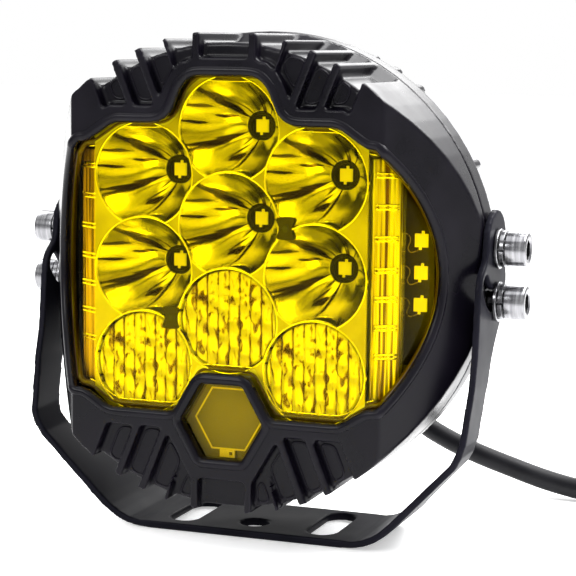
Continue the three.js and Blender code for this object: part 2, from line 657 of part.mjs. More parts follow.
const BLACK_CAST = material(0x1d1c20, 0.45, 0.3);
const BLACK_SHEET = material(0x17171b, 0.35, 0.3);
const AMBER = material(0xf2d400, 0.05, 0, { transparent: true, opacity: 0.45 });
const CHROME = material(0xd8d8d8, 0.08, 1);
const CLEAR = material(0xf0f0e0, 0.05, 0, { transparent: true, opacity: 0.5 });
const STEEL = material(0xc4c6c8, 0.22, 1);
const ALUMINIUM = material(0xb4b6b8, 0.4, 1);
const RUBBER = material(0x111111, 0.7, 0);
const BOARD = material(0xe8e8e2, 0.5, 0);
const LED = material(0xf4d84a, 0.4, 0);
const OLIVE = material(0x7d6a14, 0.5, 0);
const BLACK_PLASTIC = material(0x161616, 0.5, 0);

const head = new THREE.Group();

function add(name, solid, surface) {
  const geometry = solid.isBufferGeometry ? solid : toGeometry(solid);
  const mesh = new THREE.Mesh(geometry, surface);
  mesh.name = name;
  head.add(mesh);
}

function addPair(name, solid, surface) {
  add(`${name}_right`, solid, surface);
  add(`${name}_left`, mirrorX(solid), surface);
}

add("mounting_bracket", makeBracket(), BLACK_SHEET);
add("front_bezel", makeBezel(), BLACK_CAST);
add("rear_housing", makeRearHousing(), BLACK_CAST);
add("lens", makeLens(), AMBER);
add("lens_gasket", makeGasket(), RUBBER);
add("reflector_panel", makeReflector(), CHROME);

["left", "centre", "right"].forEach((name, i) => {
  const [x, z] = opticSpots[i];
  add(`spread_optic_${name}`, makeOptic(x, z), CLEAR);
});

cupSpots.forEach(([x, z], i) => {
  add(`led_${i + 1}`, makeLed(LED_SIZE, BOARD_Y - GAP, x, z), LED);
});

add("led_board", makeLedBoard(), BOARD);
add("thermal_pad", makeThermalPad(), RUBBER);
add("heat_spreader", makeSpreader(), ALUMINIUM);
addPair("light_guide", makeLightGuide(), CLEAR);
addPair("side_board", makeSideBoard(), BOARD);
for (const [i, z] of SIDE_LED_HEIGHTS.entries()) {
  addPair(`side_led_${i + 1}`, makeLed(LED_SIZE, SIDE_BOARD_Y - GAP, SIDE_LED_X, z), LED);
}

add("badge_lens", hexagon(BADGE_OPENING_R - 0.4, 2.8, BADGE_SEAT_Y + 0.7), AMBER);
add("badge_plate", hexagon(BADGE_OPENING_R + 1.6, 8.3, 9.5), OLIVE);
add("badge_clip", makeBadgeClip(), LED);

add("driver_board", box(-32, 32, 66, 67.6, -30, 30), BOARD);
add("driver_choke", cylinderY(9, 55, 65.7, -12, 8, 20), BLACK_PLASTIC);
add("driver_capacitor", cylinderY(5, 54, 65.7, 14, -10, 16), ALUMINIUM);

add("cable_gland", makeGland(), BLACK_PLASTIC);
add("gland_nut", makeGlandNut(), BLACK_PLASTIC);
add("breather_vent", makeBreather(), BLACK_PLASTIC);
add("cable", makeCable(), RUBBER);
add("connector", makeConnector(), BLACK_PLASTIC);

const boltZ = { pivot: PIVOT_Z, lock: PIVOT_Z - LOCK_DROP };
for (const [name, z] of Object.entries(boltZ)) {
  addPair(`${name}_bolt`, makeBolt(z), STEEL);
  addPair(`${name}_spring_washer`, makeSpringWasher(z), STEEL);
  addPair(`${name}_flat_washer`, makeFlatWasher(z), STEEL);
}

screwSpots.forEach(([x, z], i) => add(`housing_screw_${i + 1}`, makeScrew(x, z), STEEL));

head.position.set(0, -NUT_END_Y / 2, -FOOT_Z);
const group = new THREE.Group();
group.add(head);

export default group;
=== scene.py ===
"""Looks of a round LED fog light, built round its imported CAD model.

Lengths in the tables below are millimetres in the head's own frame, whose origin is the middle
of the front face (X right, Y back, Z up). place() turns them into metres in the row frame.
"""
import itertools
import json
import math

import bmesh
import bpy
from mathutils import Matrix, Vector
from mathutils.geometry import delaunay_2d_cdt


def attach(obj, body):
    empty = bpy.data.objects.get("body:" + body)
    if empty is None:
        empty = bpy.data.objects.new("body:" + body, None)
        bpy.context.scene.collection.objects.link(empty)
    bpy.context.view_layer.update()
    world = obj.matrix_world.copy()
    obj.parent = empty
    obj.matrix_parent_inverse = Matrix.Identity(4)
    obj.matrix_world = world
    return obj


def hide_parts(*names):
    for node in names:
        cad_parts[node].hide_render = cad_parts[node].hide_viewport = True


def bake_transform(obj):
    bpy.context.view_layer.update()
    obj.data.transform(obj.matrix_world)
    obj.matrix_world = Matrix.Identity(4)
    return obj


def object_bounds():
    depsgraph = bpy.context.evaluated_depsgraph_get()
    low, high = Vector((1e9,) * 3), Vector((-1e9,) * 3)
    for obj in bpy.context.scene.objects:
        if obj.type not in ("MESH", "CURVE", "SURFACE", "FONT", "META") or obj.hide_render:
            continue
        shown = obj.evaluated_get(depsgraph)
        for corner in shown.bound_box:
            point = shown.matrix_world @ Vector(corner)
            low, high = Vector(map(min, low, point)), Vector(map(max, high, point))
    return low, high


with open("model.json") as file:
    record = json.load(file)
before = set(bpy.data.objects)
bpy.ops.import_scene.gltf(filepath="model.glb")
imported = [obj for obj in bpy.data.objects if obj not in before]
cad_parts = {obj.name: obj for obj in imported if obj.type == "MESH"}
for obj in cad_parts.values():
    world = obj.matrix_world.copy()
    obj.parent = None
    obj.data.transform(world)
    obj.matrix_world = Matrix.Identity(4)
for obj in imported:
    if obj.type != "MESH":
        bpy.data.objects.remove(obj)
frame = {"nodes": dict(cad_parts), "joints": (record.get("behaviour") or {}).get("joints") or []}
cad_low, cad_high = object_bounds()

MM = 0.001
NODES = frame["nodes"]
PIVOT = Vector((0, 54, 9))
ORIGIN = Vector(frame["joints"][0]["pos_m"]) - PIVOT * MM
SIDES = ((1, "right"), (-1, "left"))


def place(x, y, z):
    return ORIGIN + Vector((x, y, z)) * MM


# ---- camera

CAMERA_YAW = math.radians(20.08)
CAMERA_RISE = math.radians(7.42)
CAMERA_ROLL = math.radians(0.66)
CAMERA_DISTANCE = 0.6896
CAMERA_TARGET = (25.96, 0, -3.12)
CAMERA_LENS = 119.27


def make_camera():
    back = Vector((math.sin(CAMERA_YAW) * math.cos(CAMERA_RISE),
                   -math.cos(CAMERA_YAW) * math.cos(CAMERA_RISE), math.sin(CAMERA_RISE)))
    right = Vector((math.cos(CAMERA_YAW), math.sin(CAMERA_YAW), 0))
    up = back.cross(right)
    rolled_right = right * math.cos(CAMERA_ROLL) + up * math.sin(CAMERA_ROLL)
    rolled_up = up * math.cos(CAMERA_ROLL) - right * math.sin(CAMERA_ROLL)
    data = bpy.data.cameras.new("camera")
    data.lens = CAMERA_LENS
    data.sensor_width = 36
    data.clip_start = 0.05
    data.clip_end = 20
    camera = bpy.data.objects.new("camera", data)
    bpy.context.scene.collection.objects.link(camera)
    turn = Matrix((rolled_right, rolled_up, back)).transposed().to_4x4()
    camera.matrix_world = Matrix.Translation(place(*CAMERA_TARGET) + back * CAMERA_DISTANCE) @ turn
    bpy.context.scene.camera = camera


make_camera()

# ---- mesh helpers


def new_object(name, mesh):
    piece = bpy.data.objects.new(name, mesh)
    bpy.context.scene.collection.objects.link(piece)
    return piece


def plain_mesh(name, points, faces, material, smooth=False):
    mesh = bpy.data.meshes.new(name)
    mesh.from_pydata([tuple(p) for p in points], [], faces)
    mesh.polygons.foreach_set("use_smooth", [smooth] * len(mesh.polygons))
    mesh.materials.append(material)
    return mesh


def from_data(name, points, faces, material, smooth=True):
    """An object from points in metres in the row frame, its faces turned outward."""
    mesh = plain_mesh(name, points, faces, material, smooth)
    tidy = bmesh.new()
    tidy.from_mesh(mesh)
    bmesh.ops.remove_doubles(tidy, verts=tidy.verts, dist=1e-7)
    bmesh.ops.recalc_face_normals(tidy, faces=tidy.faces)
    tidy.to_mesh(mesh)
    tidy.free()
    return new_object(name, mesh)


def catmull_rom(points, steps):
    """A smooth line through every point, with `steps` pieces between two of them."""
    line = [Vector(p) for p in points]
    ends = [line[0] * 2 - line[1]] + line + [line[-1] * 2 - line[-2]]
    path = []
    for i in range(1, len(ends) - 2):
        a, b, c, d = ends[i - 1:i + 3]
        for k in range(steps):
            t = k / steps
            path.append(0.5 * ((2 * b) + (c - a) * t + (2 * a - 5 * b + 4 * c - d) * t * t
                               + (3 * b - a - 3 * c + d) * t * t * t))
    path.append(line[-1])
    return path


def ring_faces(rings, sides, closed=False, start=0):
    """Quads between neighbouring rings of points; closed joins the last ring to the first."""
    faces = []
    for ring in range(rings if closed else rings - 1):
        here = start + ring * sides
        there = start + (ring + 1) % rings * sides
        for k in range(sides):
            after = (k + 1) % sides
            faces.append((here + k, here + after, there + after, there + k))
    return faces


def tube_data(path, radius, sides):
    """Points and faces of a closed round tube along path, its section carried along untwisted."""
    points = []
    normal = None
    for i, centre in enumerate(path):
        along = (path[min(i + 1, len(path) - 1)] - path[max(i - 1, 0)]).normalized()
        if normal is None:
            normal = along.orthogonal().normalized()
        normal = (normal - along * normal.dot(along)).normalized()
        side = along.cross(normal)
        for k in range(sides):
            a = 2 * math.pi * k / sides
            points.append(centre + (normal * math.cos(a) + side * math.sin(a)) * radius)
    ends = [tuple(range(sides)), tuple(range(len(points) - sides, len(points)))]
    return points, ring_faces(len(path), sides) + ends


def loop_tube(path, radius, sides=20):
    """A closed round bead along a closed path."""
    points = []
    count = len(path)
    for i, centre in enumerate(path):
        along = (path[(i + 1) % count] - path[i - 1]).normalized()
        side = along.cross(Vector((0, 1, 0))).normalized()
        lift = side.cross(along)
        for k in range(sides):
            a = 2 * math.pi * k / sides
            points.append(centre + (side * math.cos(a) + lift * math.sin(a)) * radius)
    return points, ring_faces(count, sides, closed=True)


def join_data(parts):
    points, faces = [], []
    for more_points, more_faces in parts:
        start = len(points)
        points += more_points
        faces += [tuple(i + start for i in face) for face in more_faces]
    return points, faces


def lathe_data(profile, to_point, sides=64):
    """A closed (radius, depth) profile turned round; to_point(u, v, depth) places each point."""
    points = []
    for k in range(sides):
        a = 2 * math.pi * k / sides
        points += [to_point(r * math.cos(a), r * math.sin(a), depth) for r, depth in profile]
    return points, ring_faces(sides, len(profile), closed=True)


def turned_at(profile, x, z, sides):
    """The profile turned round an axis that runs front to back through (x, z)."""
    return lathe_data(profile, lambda u, v, depth: place(x + u, depth, z + v), sides)


def block_data(low, high):
    """A box between two corners in millimetres in the head's frame."""
    corners = [(x, y, z) for x in (low[0], high[0]) for y in (low[1], high[1])
               for z in (low[2], high[2])]
    faces = [(0, 1, 3, 2), (4, 6, 7, 5), (0, 4, 5, 1), (2, 3, 7, 6), (0, 2, 6, 4), (1, 5, 7, 3)]
    return [place(*c) for c in corners], faces


def add_bevel(piece, width, angle=30):
    bevel = piece.modifiers.new("soft_edges", "BEVEL")
    bevel.width = width * MM
    bevel.segments = 2
    bevel.limit_method = "ANGLE"
    bevel.angle_limit = math.radians(angle)
    bevel.harden_normals = False


def add_wall(piece, thickness, offset):
    """Gives a sheet its thickness."""
    wall = piece.modifiers.new("wall", "SOLIDIFY")
    wall.thickness = thickness * MM
    wall.offset = offset


def round_off(piece, voxel, passes):
    """Softens every edge as in a casting: a fine even remesh, then smoothing."""
    remesh = piece.modifiers.new("even_mesh", "REMESH")
    remesh.mode = "VOXEL"
    remesh.voxel_size = voxel * MM
    remesh.use_smooth_shade = True
    smooth = piece.modifiers.new("soft_edges", "SMOOTH")
    smooth.factor = 0.5
    smooth.iterations = passes


def shade_flat(piece):
    """Drops the smooth normals that a carried-over node came with."""
    mesh = piece.data
    if "custom_normal" in mesh.attributes:
        mesh.attributes.remove(mesh.attributes["custom_normal"])
    mesh.polygons.foreach_set("use_smooth", [False] * len(mesh.polygons))


def set_material(piece, material):
    piece.data.materials.clear()
    piece.data.materials.append(material)
    piece.data.polygons.foreach_set("material_index", [0] * len(piece.data.polygons))


# ---- material helpers


def add_node(tree, kind, inputs=None, **settings):
    """A new node with its settings, and each input linked to a socket or given a value."""
    made = tree.nodes.new(kind)
    for key, value in settings.items():
        setattr(made, key, value)
    for key, value in (inputs or {}).items():
        if isinstance(value, bpy.types.NodeSocket):
            tree.links.new(value, made.inputs[key])
        else:
            made.inputs[key].default_value = value
    return made


class Shader:
    """A new material with its Principled shader, and short ways to add and join nodes."""

    def __init__(self, name, color, roughness, metallic=0.0, **uniform):
        self.material = bpy.data.materials.new(name)
        self.material.use_nodes = True
        self.tree = self.material.node_tree
        self.surface = self.tree.nodes["Principled BSDF"]
        self.surface.inputs["Base Color"].default_value = (*color, 1)
        self.surface.inputs["Roughness"].default_value = roughness
        self.surface.inputs["Metallic"].default_value = metallic
        for key, value in uniform.items():
            self.surface.inputs[key.replace("_", " ")].default_value = value

    def node(self, kind, inputs=None, **settings):
        return add_node(self.tree, kind, inputs, **settings)

    def calculate(self, operation, first, second=0.0, **settings):
        made = self.node("ShaderNodeMath", {0: first, 1: second}, operation=operation, **settings)
        return made.outputs[0]

    def link(self, output, target):
        self.tree.links.new(output, self.surface.inputs[target])

    def where(self, scale=(1, 1, 1)):
        """Place on the object, in metres, stretched by scale."""
        place_node = self.node("ShaderNodeTexCoord")
        mapping = self.node("ShaderNodeMapping", {"Vector": place_node.outputs["Object"]})
        mapping.inputs["Scale"].default_value = scale
        return mapping.outputs[0]

    def noise(self, scale, detail=3, stretch=(1, 1, 1), at=None):
        made = self.node("ShaderNodeTexNoise",
                         {"Vector": at or self.where(stretch), "Scale": scale, "Detail": detail})
        return made.outputs["Fac"]

    def spread(self, value, low, high, start=0.3, end=0.7):
        """value's range start..end mapped to low..high."""
        made = self.node("ShaderNodeMapRange", {"Value": value, "From Min": start, "From Max": end,
                                                "To Min": low, "To Max": high})
        return made.outputs[0]

    def ramp(self, value, stops):
        made = self.node("ShaderNodeValToRGB", {"Fac": value})
        elements = made.color_ramp.elements
        while len(elements) < len(stops):
            elements.new(0.5)
        for element, (position, color) in zip(elements, stops):
            element.position = position
            element.color = (*color, 1)
        return made.outputs["Color"]

    def bump(self, height, strength, distance):
        made = self.node("ShaderNodeBump",
                         {"Height": height, "Strength": strength, "Distance": distance * MM})
        self.link(made.outputs[0], "Normal")


def coated(name, dark, light, rough_low, rough_high, shine, grain=1600):
    """Powder coat: fine orange peel, patches of slightly different gloss, paler worn edges."""
    made = Shader(name, dark, rough_low, Specular_IOR_Level=shine)
    patches = made.noise(45, 4)
    edges = made.node("ShaderNodeNewGeometry").outputs["Pointiness"]
    worn = made.spread(edges, 0, 1, 0.52, 0.62)
    both = made.calculate("ADD", made.spread(patches, 0, 0.5), worn, use_clamp=True)
    made.link(made.ramp(both, [(0, dark), (1, light)]), "Base Color")
    made.link(made.spread(patches, rough_low, rough_high), "Roughness")
    made.bump(made.noise(grain, 2), 0.12, 0.08)
    return made.material


def plastic(name, dark, light, roughness, grain=900, shine=0.5):
    made = Shader(name, dark, roughness, Specular_IOR_Level=shine)
    patches = made.noise(60, 5)
    made.link(made.ramp(patches, [(0.3, dark), (0.7, light)]), "Base Color")
    made.link(made.spread(patches, roughness * 0.85, roughness * 1.2), "Roughness")
    made.bump(made.noise(grain, 3), 0.2, 0.06)
    return made.material


def metal(name, dark, light, rough_low, rough_high, stretch, grain=500):
    """Machined metal with fine tool marks along the axis that stretch leaves short."""
    made = Shader(name, light, rough_low, 1.0)
    marks = made.noise(grain, 6, stretch)
    made.link(made.ramp(marks, [(0.3, dark), (0.7, light)]), "Base Color")
    made.link(made.spread(marks, rough_low, rough_high), "Roughness")
    made.bump(marks, 0.08, 0.03)
    return made.material


def reflector_material():
    """Metallised plastic with painted reflections in its base colour: dark streak bands running out of
    each cup's middle and bright patches between them, on top of what the cups' real waves mirror.
    """
    made = Shader("reflector_chrome", (0.9, 0.9, 0.88), 0.09, 1.0)
    flat = made.node("ShaderNodeUVMap", uv_map="cup").outputs[0]
    around = made.node("ShaderNodeVectorMath", {0: flat}, operation="NORMALIZE").outputs[0]
    away = made.node("ShaderNodeVectorMath", {0: flat}, operation="LENGTH").outputs["Value"]
    lift = made.node("ShaderNodeCombineXYZ", {"Z": made.calculate("MULTIPLY", away, 0.55)})
    lobes = made.node("ShaderNodeVectorMath", {0: around, 1: (1.15, 1.15, 1)}, operation="MULTIPLY")
    polar = made.node("ShaderNodeVectorMath", {0: lobes.outputs[0], 1: lift.outputs[0]}, operation="ADD")
    waves = made.node("ShaderNodeTexNoise", {"Vector": polar.outputs[0], "Scale": 2.2, "Detail": 1.6,
                                             "Distortion": 1.2})
    # Painted reflection: near-black and white bands that stand in for what the chrome mirrors.
    painted_reflection_streaks = made.ramp(waves.outputs["Fac"], [
        (0.36, (0.04, 0.025, 0.005)), (0.415, (0.12, 0.09, 0.03)), (0.43, (0.72, 0.7, 0.6)),
        (0.5, (0.88, 0.88, 0.82)), (0.58, (1, 1, 1))])
    made.link(painted_reflection_streaks, "Base Color")
    made.link(made.spread(waves.outputs["Fac"], 0.12, 0.2), "Roughness")
    return made.material


def lens_material(name, tint, gloss_color, gloss_roughness):
    """Clear amber sheet: what is behind shows through, tinted, under a skin glossy outside only."""
    material = bpy.data.materials.new(name)
    material.use_nodes = True
    tree = material.node_tree
    tree.nodes.clear()
    through = add_node(tree, "ShaderNodeBsdfTransparent", {"Color": (*tint, 1)})
    gloss = add_node(tree, "ShaderNodeBsdfAnisotropic",
                     {"Roughness": gloss_roughness, "Color": (*gloss_color, 1)})
    share = add_node(tree, "ShaderNodeFresnel", {"IOR": 1.45})
    side = add_node(tree, "ShaderNodeNewGeometry")
    outside = add_node(tree, "ShaderNodeMath", {0: 1, 1: side.outputs["Backfacing"]},
                       operation="SUBTRACT")
    strength = add_node(tree, "ShaderNodeMath", {0: share.outputs[0], 1: outside.outputs[0]},
                        operation="MULTIPLY")
    mixed = add_node(tree, "ShaderNodeMixShader",
                     {0: strength.outputs[0], 1: through.outputs[0], 2: gloss.outputs[0]})
    add_node(tree, "ShaderNodeOutputMaterial", {"Surface": mixed.outputs[0]})
    return material


def optic_material(name, color):
    """Clear moulded acrylic that bends what is behind it and lets lamps through; its base colour carries
    painted refraction bands inside the cells and painted shade along the flute seams.
    """
    made = Shader(name, color, 0.05, 0.35, Transmission_Weight=0.5, IOR=1.49)
    flat = made.node("ShaderNodeUVMap", uv_map="cell").outputs[0]
    split = made.node("ShaderNodeSeparateXYZ", {0: flat})
    off_middle = made.calculate("SUBTRACT", made.calculate("FRACT", split.outputs["X"]), 0.5)
    # Painted shade: dark lines along the flute seams.
    painted_seam_shade = made.spread(made.calculate("ABSOLUTE", off_middle), 0, 0.24, 0.36, 0.5)
    cells = made.node("ShaderNodeVectorMath", {0: flat, 1: (1.2, 1.5, 1)}, operation="MULTIPLY")
    wave = made.node("ShaderNodeTexNoise", {"Vector": cells.outputs[0], "Scale": 1.25, "Detail": 1.2,
                                            "Distortion": 0.9})
    both = made.calculate("SUBTRACT", wave.outputs["Fac"], painted_seam_shade)
    # Painted refraction: dark wavy bands and white patches in each cell stand in for what the acrylic
    # bends.
    made.link(made.ramp(both, [(0.24, (0.12, 0.06, 0.01)), (0.36, (0.42, 0.3, 0.09)),
                               (0.44, color), (0.6, (1, 1, 1))]), "Base Color")
    clear = made.node("ShaderNodeBsdfTransparent")
    clear.inputs["Color"].default_value = (*color, 1)
    path = made.node("ShaderNodeLightPath")
    mixed = made.node("ShaderNodeMixShader", {0: path.outputs["Is Shadow Ray"],
                                              1: made.surface.outputs[0], 2: clear.outputs[0]})
    output = made.tree.nodes["Material Output"]
    made.tree.links.new(mixed.outputs[0], output.inputs["Surface"])
    made.bump(made.noise(700, 3), 0.15, 0.05)
    return made.material


def guide_material(name, dark, middle, light):
    """Fluted acrylic light bar: bright, with painted browner refraction lines along its height."""
    made = Shader(name, light, 0.12, 0.6)
    # Painted refraction: the browner lines along the height; the same noise also bumps the face.
    lines = made.noise(620, 3, (1, 1, 0.02))
    made.link(made.ramp(lines, [(0.38, dark), (0.47, middle), (0.6, light)]), "Base Color")
    made.bump(lines, 0.3, 0.2)
    return made.material


CAST = coated("cast_coat", (0.0012, 0.001, 0.0022), (0.006, 0.0048, 0.009), 0.24, 0.36, 0.12)
SHEET = coated("bracket_coat", (0.004, 0.004, 0.0065), (0.012, 0.0115, 0.017), 0.34, 0.44, 0.03, 1300)
CHROME = reflector_material()
PANEL = metal("panel_chrome", (0.4, 0.38, 0.3), (0.66, 0.64, 0.5), 0.26, 0.4, (1, 1, 1), 60)
RIM = metal("rim_chrome", (0.95, 0.95, 0.9), (1, 1, 0.97), 0.2, 0.3, (1, 1, 1), 300)
LENS = lens_material("amber_lens", (0.965, 0.9, 0.02), (0.2, 0.18, 0.1), 0.02)
BADGE_LENS = lens_material("badge_lens", (0.97, 0.9, 0.03), (0.22, 0.2, 0.15), 0.08)
OPTIC = optic_material("clear_optic", (0.97, 0.97, 0.93))
# Two copies of one bar: a brighter lit one for the right and a darker, more orange one in painted shade
# for the left.
PAINTED_LIT_GUIDE = guide_material("light_bar", (0.2, 0.1, 0.03), (0.75, 0.66, 0.4), (1, 1, 0.95))
PAINTED_SHADE_GUIDE = guide_material("light_bar_painted_shade", (0.1, 0.06, 0.02), (0.45, 0.28, 0.1), (0.85, 0.62, 0.3))
STEEL = metal("stainless", (0.15, 0.15, 0.16), (0.33, 0.33, 0.34), 0.16, 0.26, (1, 0.05, 0.05), 900)
BARE = metal("bare_aluminium", (0.5, 0.5, 0.52), (0.72, 0.72, 0.74), 0.3, 0.45, (1, 0.08, 1), 600)
RUBBER = plastic("seal_rubber", (0.012, 0.012, 0.012), (0.03, 0.03, 0.03), 0.65)
JACKET = plastic("cable_jacket", (0.004, 0.004, 0.005), (0.011, 0.011, 0.013), 0.4, 1400, 0.12)
NYLON = plastic("black_nylon", (0.006, 0.006, 0.007), (0.016, 0.016, 0.018), 0.45, shine=0.15)
WHITE_BOARD = plastic("white_board", (0.6, 0.6, 0.56), (0.78, 0.78, 0.74), 0.4)
DARK_BOARD = plastic("dark_board", (0.02, 0.016, 0.012), (0.06, 0.045, 0.03), 0.35)


def phosphor(name, painted_glow):
    material = plastic(name, (0.85, 0.8, 0.45), (1, 0.95, 0.6), 0.45, 1800)
    surface = material.node_tree.nodes["Principled BSDF"]
    # Painted glow: the LED is off, and this emission only brightens its face.
    surface.inputs["Emission Color"].default_value = (1, 0.93, 0.5, 1)
    surface.inputs["Emission Strength"].default_value = painted_glow
    return material


PAINTED_GLOW_PHOSPHOR = phosphor("phosphor", 0.3)
# The side packages get a stronger painted glow.
SIDE_PHOSPHOR_PAINTED_GLOW = phosphor("side_phosphor", 0.6)
# Black of the LED sockets; on the panel's recess blocks it is painted shade.
BLACK_AND_PAINTED_SHADE = plastic("black_and_painted_shade", (0.01, 0.009, 0.008), (0.025, 0.022, 0.018), 0.6)
STEP_BROWN = plastic("step_brown", (0.03, 0.014, 0.005), (0.07, 0.035, 0.01), 0.3)
OLIVE = plastic("badge_print", (0.15, 0.14, 0.08), (0.18, 0.165, 0.09), 0.5, 300)
BADGE_MARK = plastic("badge_mark", (0.75, 0.68, 0.3), (0.85, 0.78, 0.36), 0.4)
WIRE = metal("gold_wire", (0.4, 0.3, 0.16), (0.6, 0.48, 0.26), 0.25, 0.35, (1, 1, 1))

# ---- lead

CABLE_D = 8.6
CABLE_ROUTE = [
    (15, 93.3, -44), (15, 103, -44.2), (15.5, 113, -46.5), (18, 123, -52), (22.5, 131.5, -60.5),
    (29.5, 137.5, -70), (39, 139.5, -78.5), (51, 137.5, -84), (64, 135.5, -88.3), (78, 135, -92.5),
    (92, 135, -96.5), (106, 134.5, -99.2), (120, 131.5, -99.7), (132, 124, -99.7),
    (140, 112.5, -99.7), (143.3, 98.5, -99.7), (144, 84, -99.4), (144.2, 70, -97.6),
    (144.3, 57, -96.5),
]
BEND_FROM, BEND_TO = CABLE_ROUTE[1], CABLE_ROUTE[8]
FINE_VOXEL = 0.35


def make_cable():
    path = catmull_rom([place(*p) for p in CABLE_ROUTE], 8)
    length = sum((b - a).length for a, b in zip(path, path[1:]))
    cable = from_data("power_lead", *tube_data(path, CABLE_D / 2 * MM, 32), JACKET)
    place(*BEND_FROM)
    place(*BEND_TO)
    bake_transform(cable)
    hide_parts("cable")
    connector = NODES["connector"]
    round_off(connector, FINE_VOXEL, 3)
    set_material(connector, NYLON)
    tuple(path[0])
    [tuple(p) for p in path]


make_cable()

# ---- castings and bracket


def finish_castings():
    for name, voxel, passes in (("front_bezel", 0.75, 6), ("rear_housing", 1.0, 3)):
        round_off(NODES[name], voxel, passes)
        set_material(NODES[name], CAST)
    round_off(NODES["mounting_bracket"], 0.7, 3)
    set_material(NODES["mounting_bracket"], SHEET)


finish_castings()

# ---- reflectors

CUP_PITCH_X, CUP_PITCH_Z = 34, 35.4
CUP_R, CUP_HOLE_R = 19.7, 5.0
CUP_RIM_Y, CUP_FLOOR_Y = 6.1, 40.0
CUP_WALL, PANEL_T = 0.7, 1.0
PANEL_Y = CUP_RIM_Y + 0.2
CUPS = [(column * CUP_PITCH_X, top - row * CUP_PITCH_Z, row)
        for column, top in ((-1, CUP_PITCH_Z), (0, 1.5 * CUP_PITCH_Z), (1, CUP_PITCH_Z))
        for row in range(3)]
BADGE_Z = -54.8
BADGE_CLEAR_R = 18.8
CUP_SIDES, CUP_RINGS = 120, 26
RIM_STEPS, RIM_WIRE_R = 180, 0.42


def hexagon_points(radius):
    """The corners (x, z) of a hexagon round the badge's middle."""
    return [(radius * math.cos(i * math.pi / 3), BADGE_Z + radius * math.sin(i * math.pi / 3))
            for i in range(6)]


def badge_reach(x, z):
    """Distance from the badge's middle as its hexagon measures it, corner radius units."""
    dx, dz = abs(x), abs(z - BADGE_Z)
    apothem = max(dz, dx * math.cos(math.pi / 6) + dz * 0.5)
    return apothem / math.cos(math.pi / 6)


def inside_front_cup(x, z, own, radius=CUP_R):
    """True where a lower cup, which stands in front, covers the point."""
    return any(other[1] < own[1] and math.hypot(x - other[0], z - other[1]) < radius
               for other in CUPS if other is not own)


def cup_limit(own, angle):
    """How far out the cup's surface goes in this direction before another piece cuts it."""
    radius = CUP_R
    while radius > CUP_HOLE_R + 1:
        x, z = own[0] + radius * math.cos(angle), own[1] + radius * math.sin(angle)
        if not inside_front_cup(x, z, own) and badge_reach(x, z) > BADGE_CLEAR_R:
            break
        radius -= 0.05
    return radius


def cup_depth(radius, angle):
    """Paraboloid with slow waves that run out from the hole."""
    share = (radius - CUP_HOLE_R) / (CUP_R - CUP_HOLE_R)
    fall = (CUP_FLOOR_Y - CUP_RIM_Y) / (CUP_R ** 2 - CUP_HOLE_R ** 2)
    wave = 0.22 * math.sin(7 * angle + 3.1 * share) + 0.12 * math.sin(11 * angle - 5 * share)
    return CUP_FLOOR_Y - fall * (radius ** 2 - CUP_HOLE_R ** 2) + wave * math.sin(math.pi * share)


def cup_data(own):
    """The points of a cup's surface, and the same points flat, measured in cup radii."""
    angles = [2 * math.pi * k / CUP_SIDES for k in range(CUP_SIDES)]
    reaches = [cup_limit(own, angle) - CUP_HOLE_R for angle in angles]
    points, flat = [], []
    for ring in range(CUP_RINGS + 1):
        share = (ring / CUP_RINGS) ** 0.8
        for angle, reach in zip(angles, reaches):
            radius = CUP_HOLE_R + reach * share
            u, v = radius * math.cos(angle), radius * math.sin(angle)
            points.append(place(own[0] + u, cup_depth(radius, angle), own[1] + v))
            flat.append((u / CUP_R, v / CUP_R))
    return points, flat


def make_cups():
    surfaces = [cup_data(own) for own in CUPS]
    faces = ring_faces(CUP_RINGS + 1, CUP_SIDES)
    points, faces = join_data([(cup_points, faces) for cup_points, _ in surfaces])
    flat = [at for _, cup_flat in surfaces for at in cup_flat]
    mesh = plain_mesh("reflector_cups", points, faces, CHROME, smooth=True)
    layer = mesh.uv_layers.new(name="cup")
    for loop in mesh.loops:
        layer.data[loop.index].uv = flat[loop.vertex_index]
    cups = new_object("reflector_cups", mesh)
    add_wall(cups, CUP_WALL, 1)
    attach(cups, "head")


def circle(x, z, radius, sides=96):
    angles = [2 * math.pi * k / sides for k in range(sides)]
    return [(x + radius * math.cos(a), z + radius * math.sin(a)) for a in angles]


PANEL_HALF = [(45, 57.2), (53.9, 50), (53.9, -47.5), (47, -53.5)]
RECESSES = [(22.6, 17.7), (-22.6, -17.7)]
RECESS_R = 5.2
LOBE_SPOT = (0, 1.5 * CUP_PITCH_Z, 21.6)


def make_panel():
    """The flat metallised plate between the cups, with the two dark fixing recesses open."""
    outer = PANEL_HALF + [(-x, z) for x, z in reversed(PANEL_HALF)]
    loops = [outer, circle(*LOBE_SPOT)] + [circle(x, z, CUP_R) for x, z, _ in CUPS]
    loops += [circle(x, z, RECESS_R, 40) for x, z in RECESSES]
    loops.append(hexagon_points(BADGE_CLEAR_R))
    flat, rings = [], []
    for loop in loops:
        rings.append(list(range(len(flat), len(flat) + len(loop))))
        flat += [Vector(p) for p in loop]
    flat, _, triangles, _, _, _ = delaunay_2d_cdt(flat, [], rings, 1, 1e-4)

    def kept(face):
        middle = sum((flat[i] for i in face), Vector((0, 0))) / len(face)
        near = any((middle - Vector((x, z))).length < CUP_R for x, z, _ in CUPS)
        hole = any((middle - Vector(spot)).length < RECESS_R for spot in RECESSES)
        return not near and not hole and badge_reach(*middle) > BADGE_CLEAR_R

    front = [face for face in triangles if kept(face)]
    used = sorted({i for face in front for i in face})
    index = {old: new for new, old in enumerate(used)}
    points = [place(flat[i][0], PANEL_Y, flat[i][1]) for i in used]
    faces = [tuple(index[i] for i in face) for face in front]
    plate = new_object("reflector_plate", plain_mesh("reflector_plate", points, faces, PANEL))
    add_wall(plate, PANEL_T, 0)
    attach(plate, "head")
    return plate


def stretches(spots, shown):
    """Each unbroken run of spots that are shown."""
    for seen, run in itertools.groupby(zip(spots, shown), key=lambda pair: pair[1]):
        if seen:
            yield [spot for spot, _ in run]


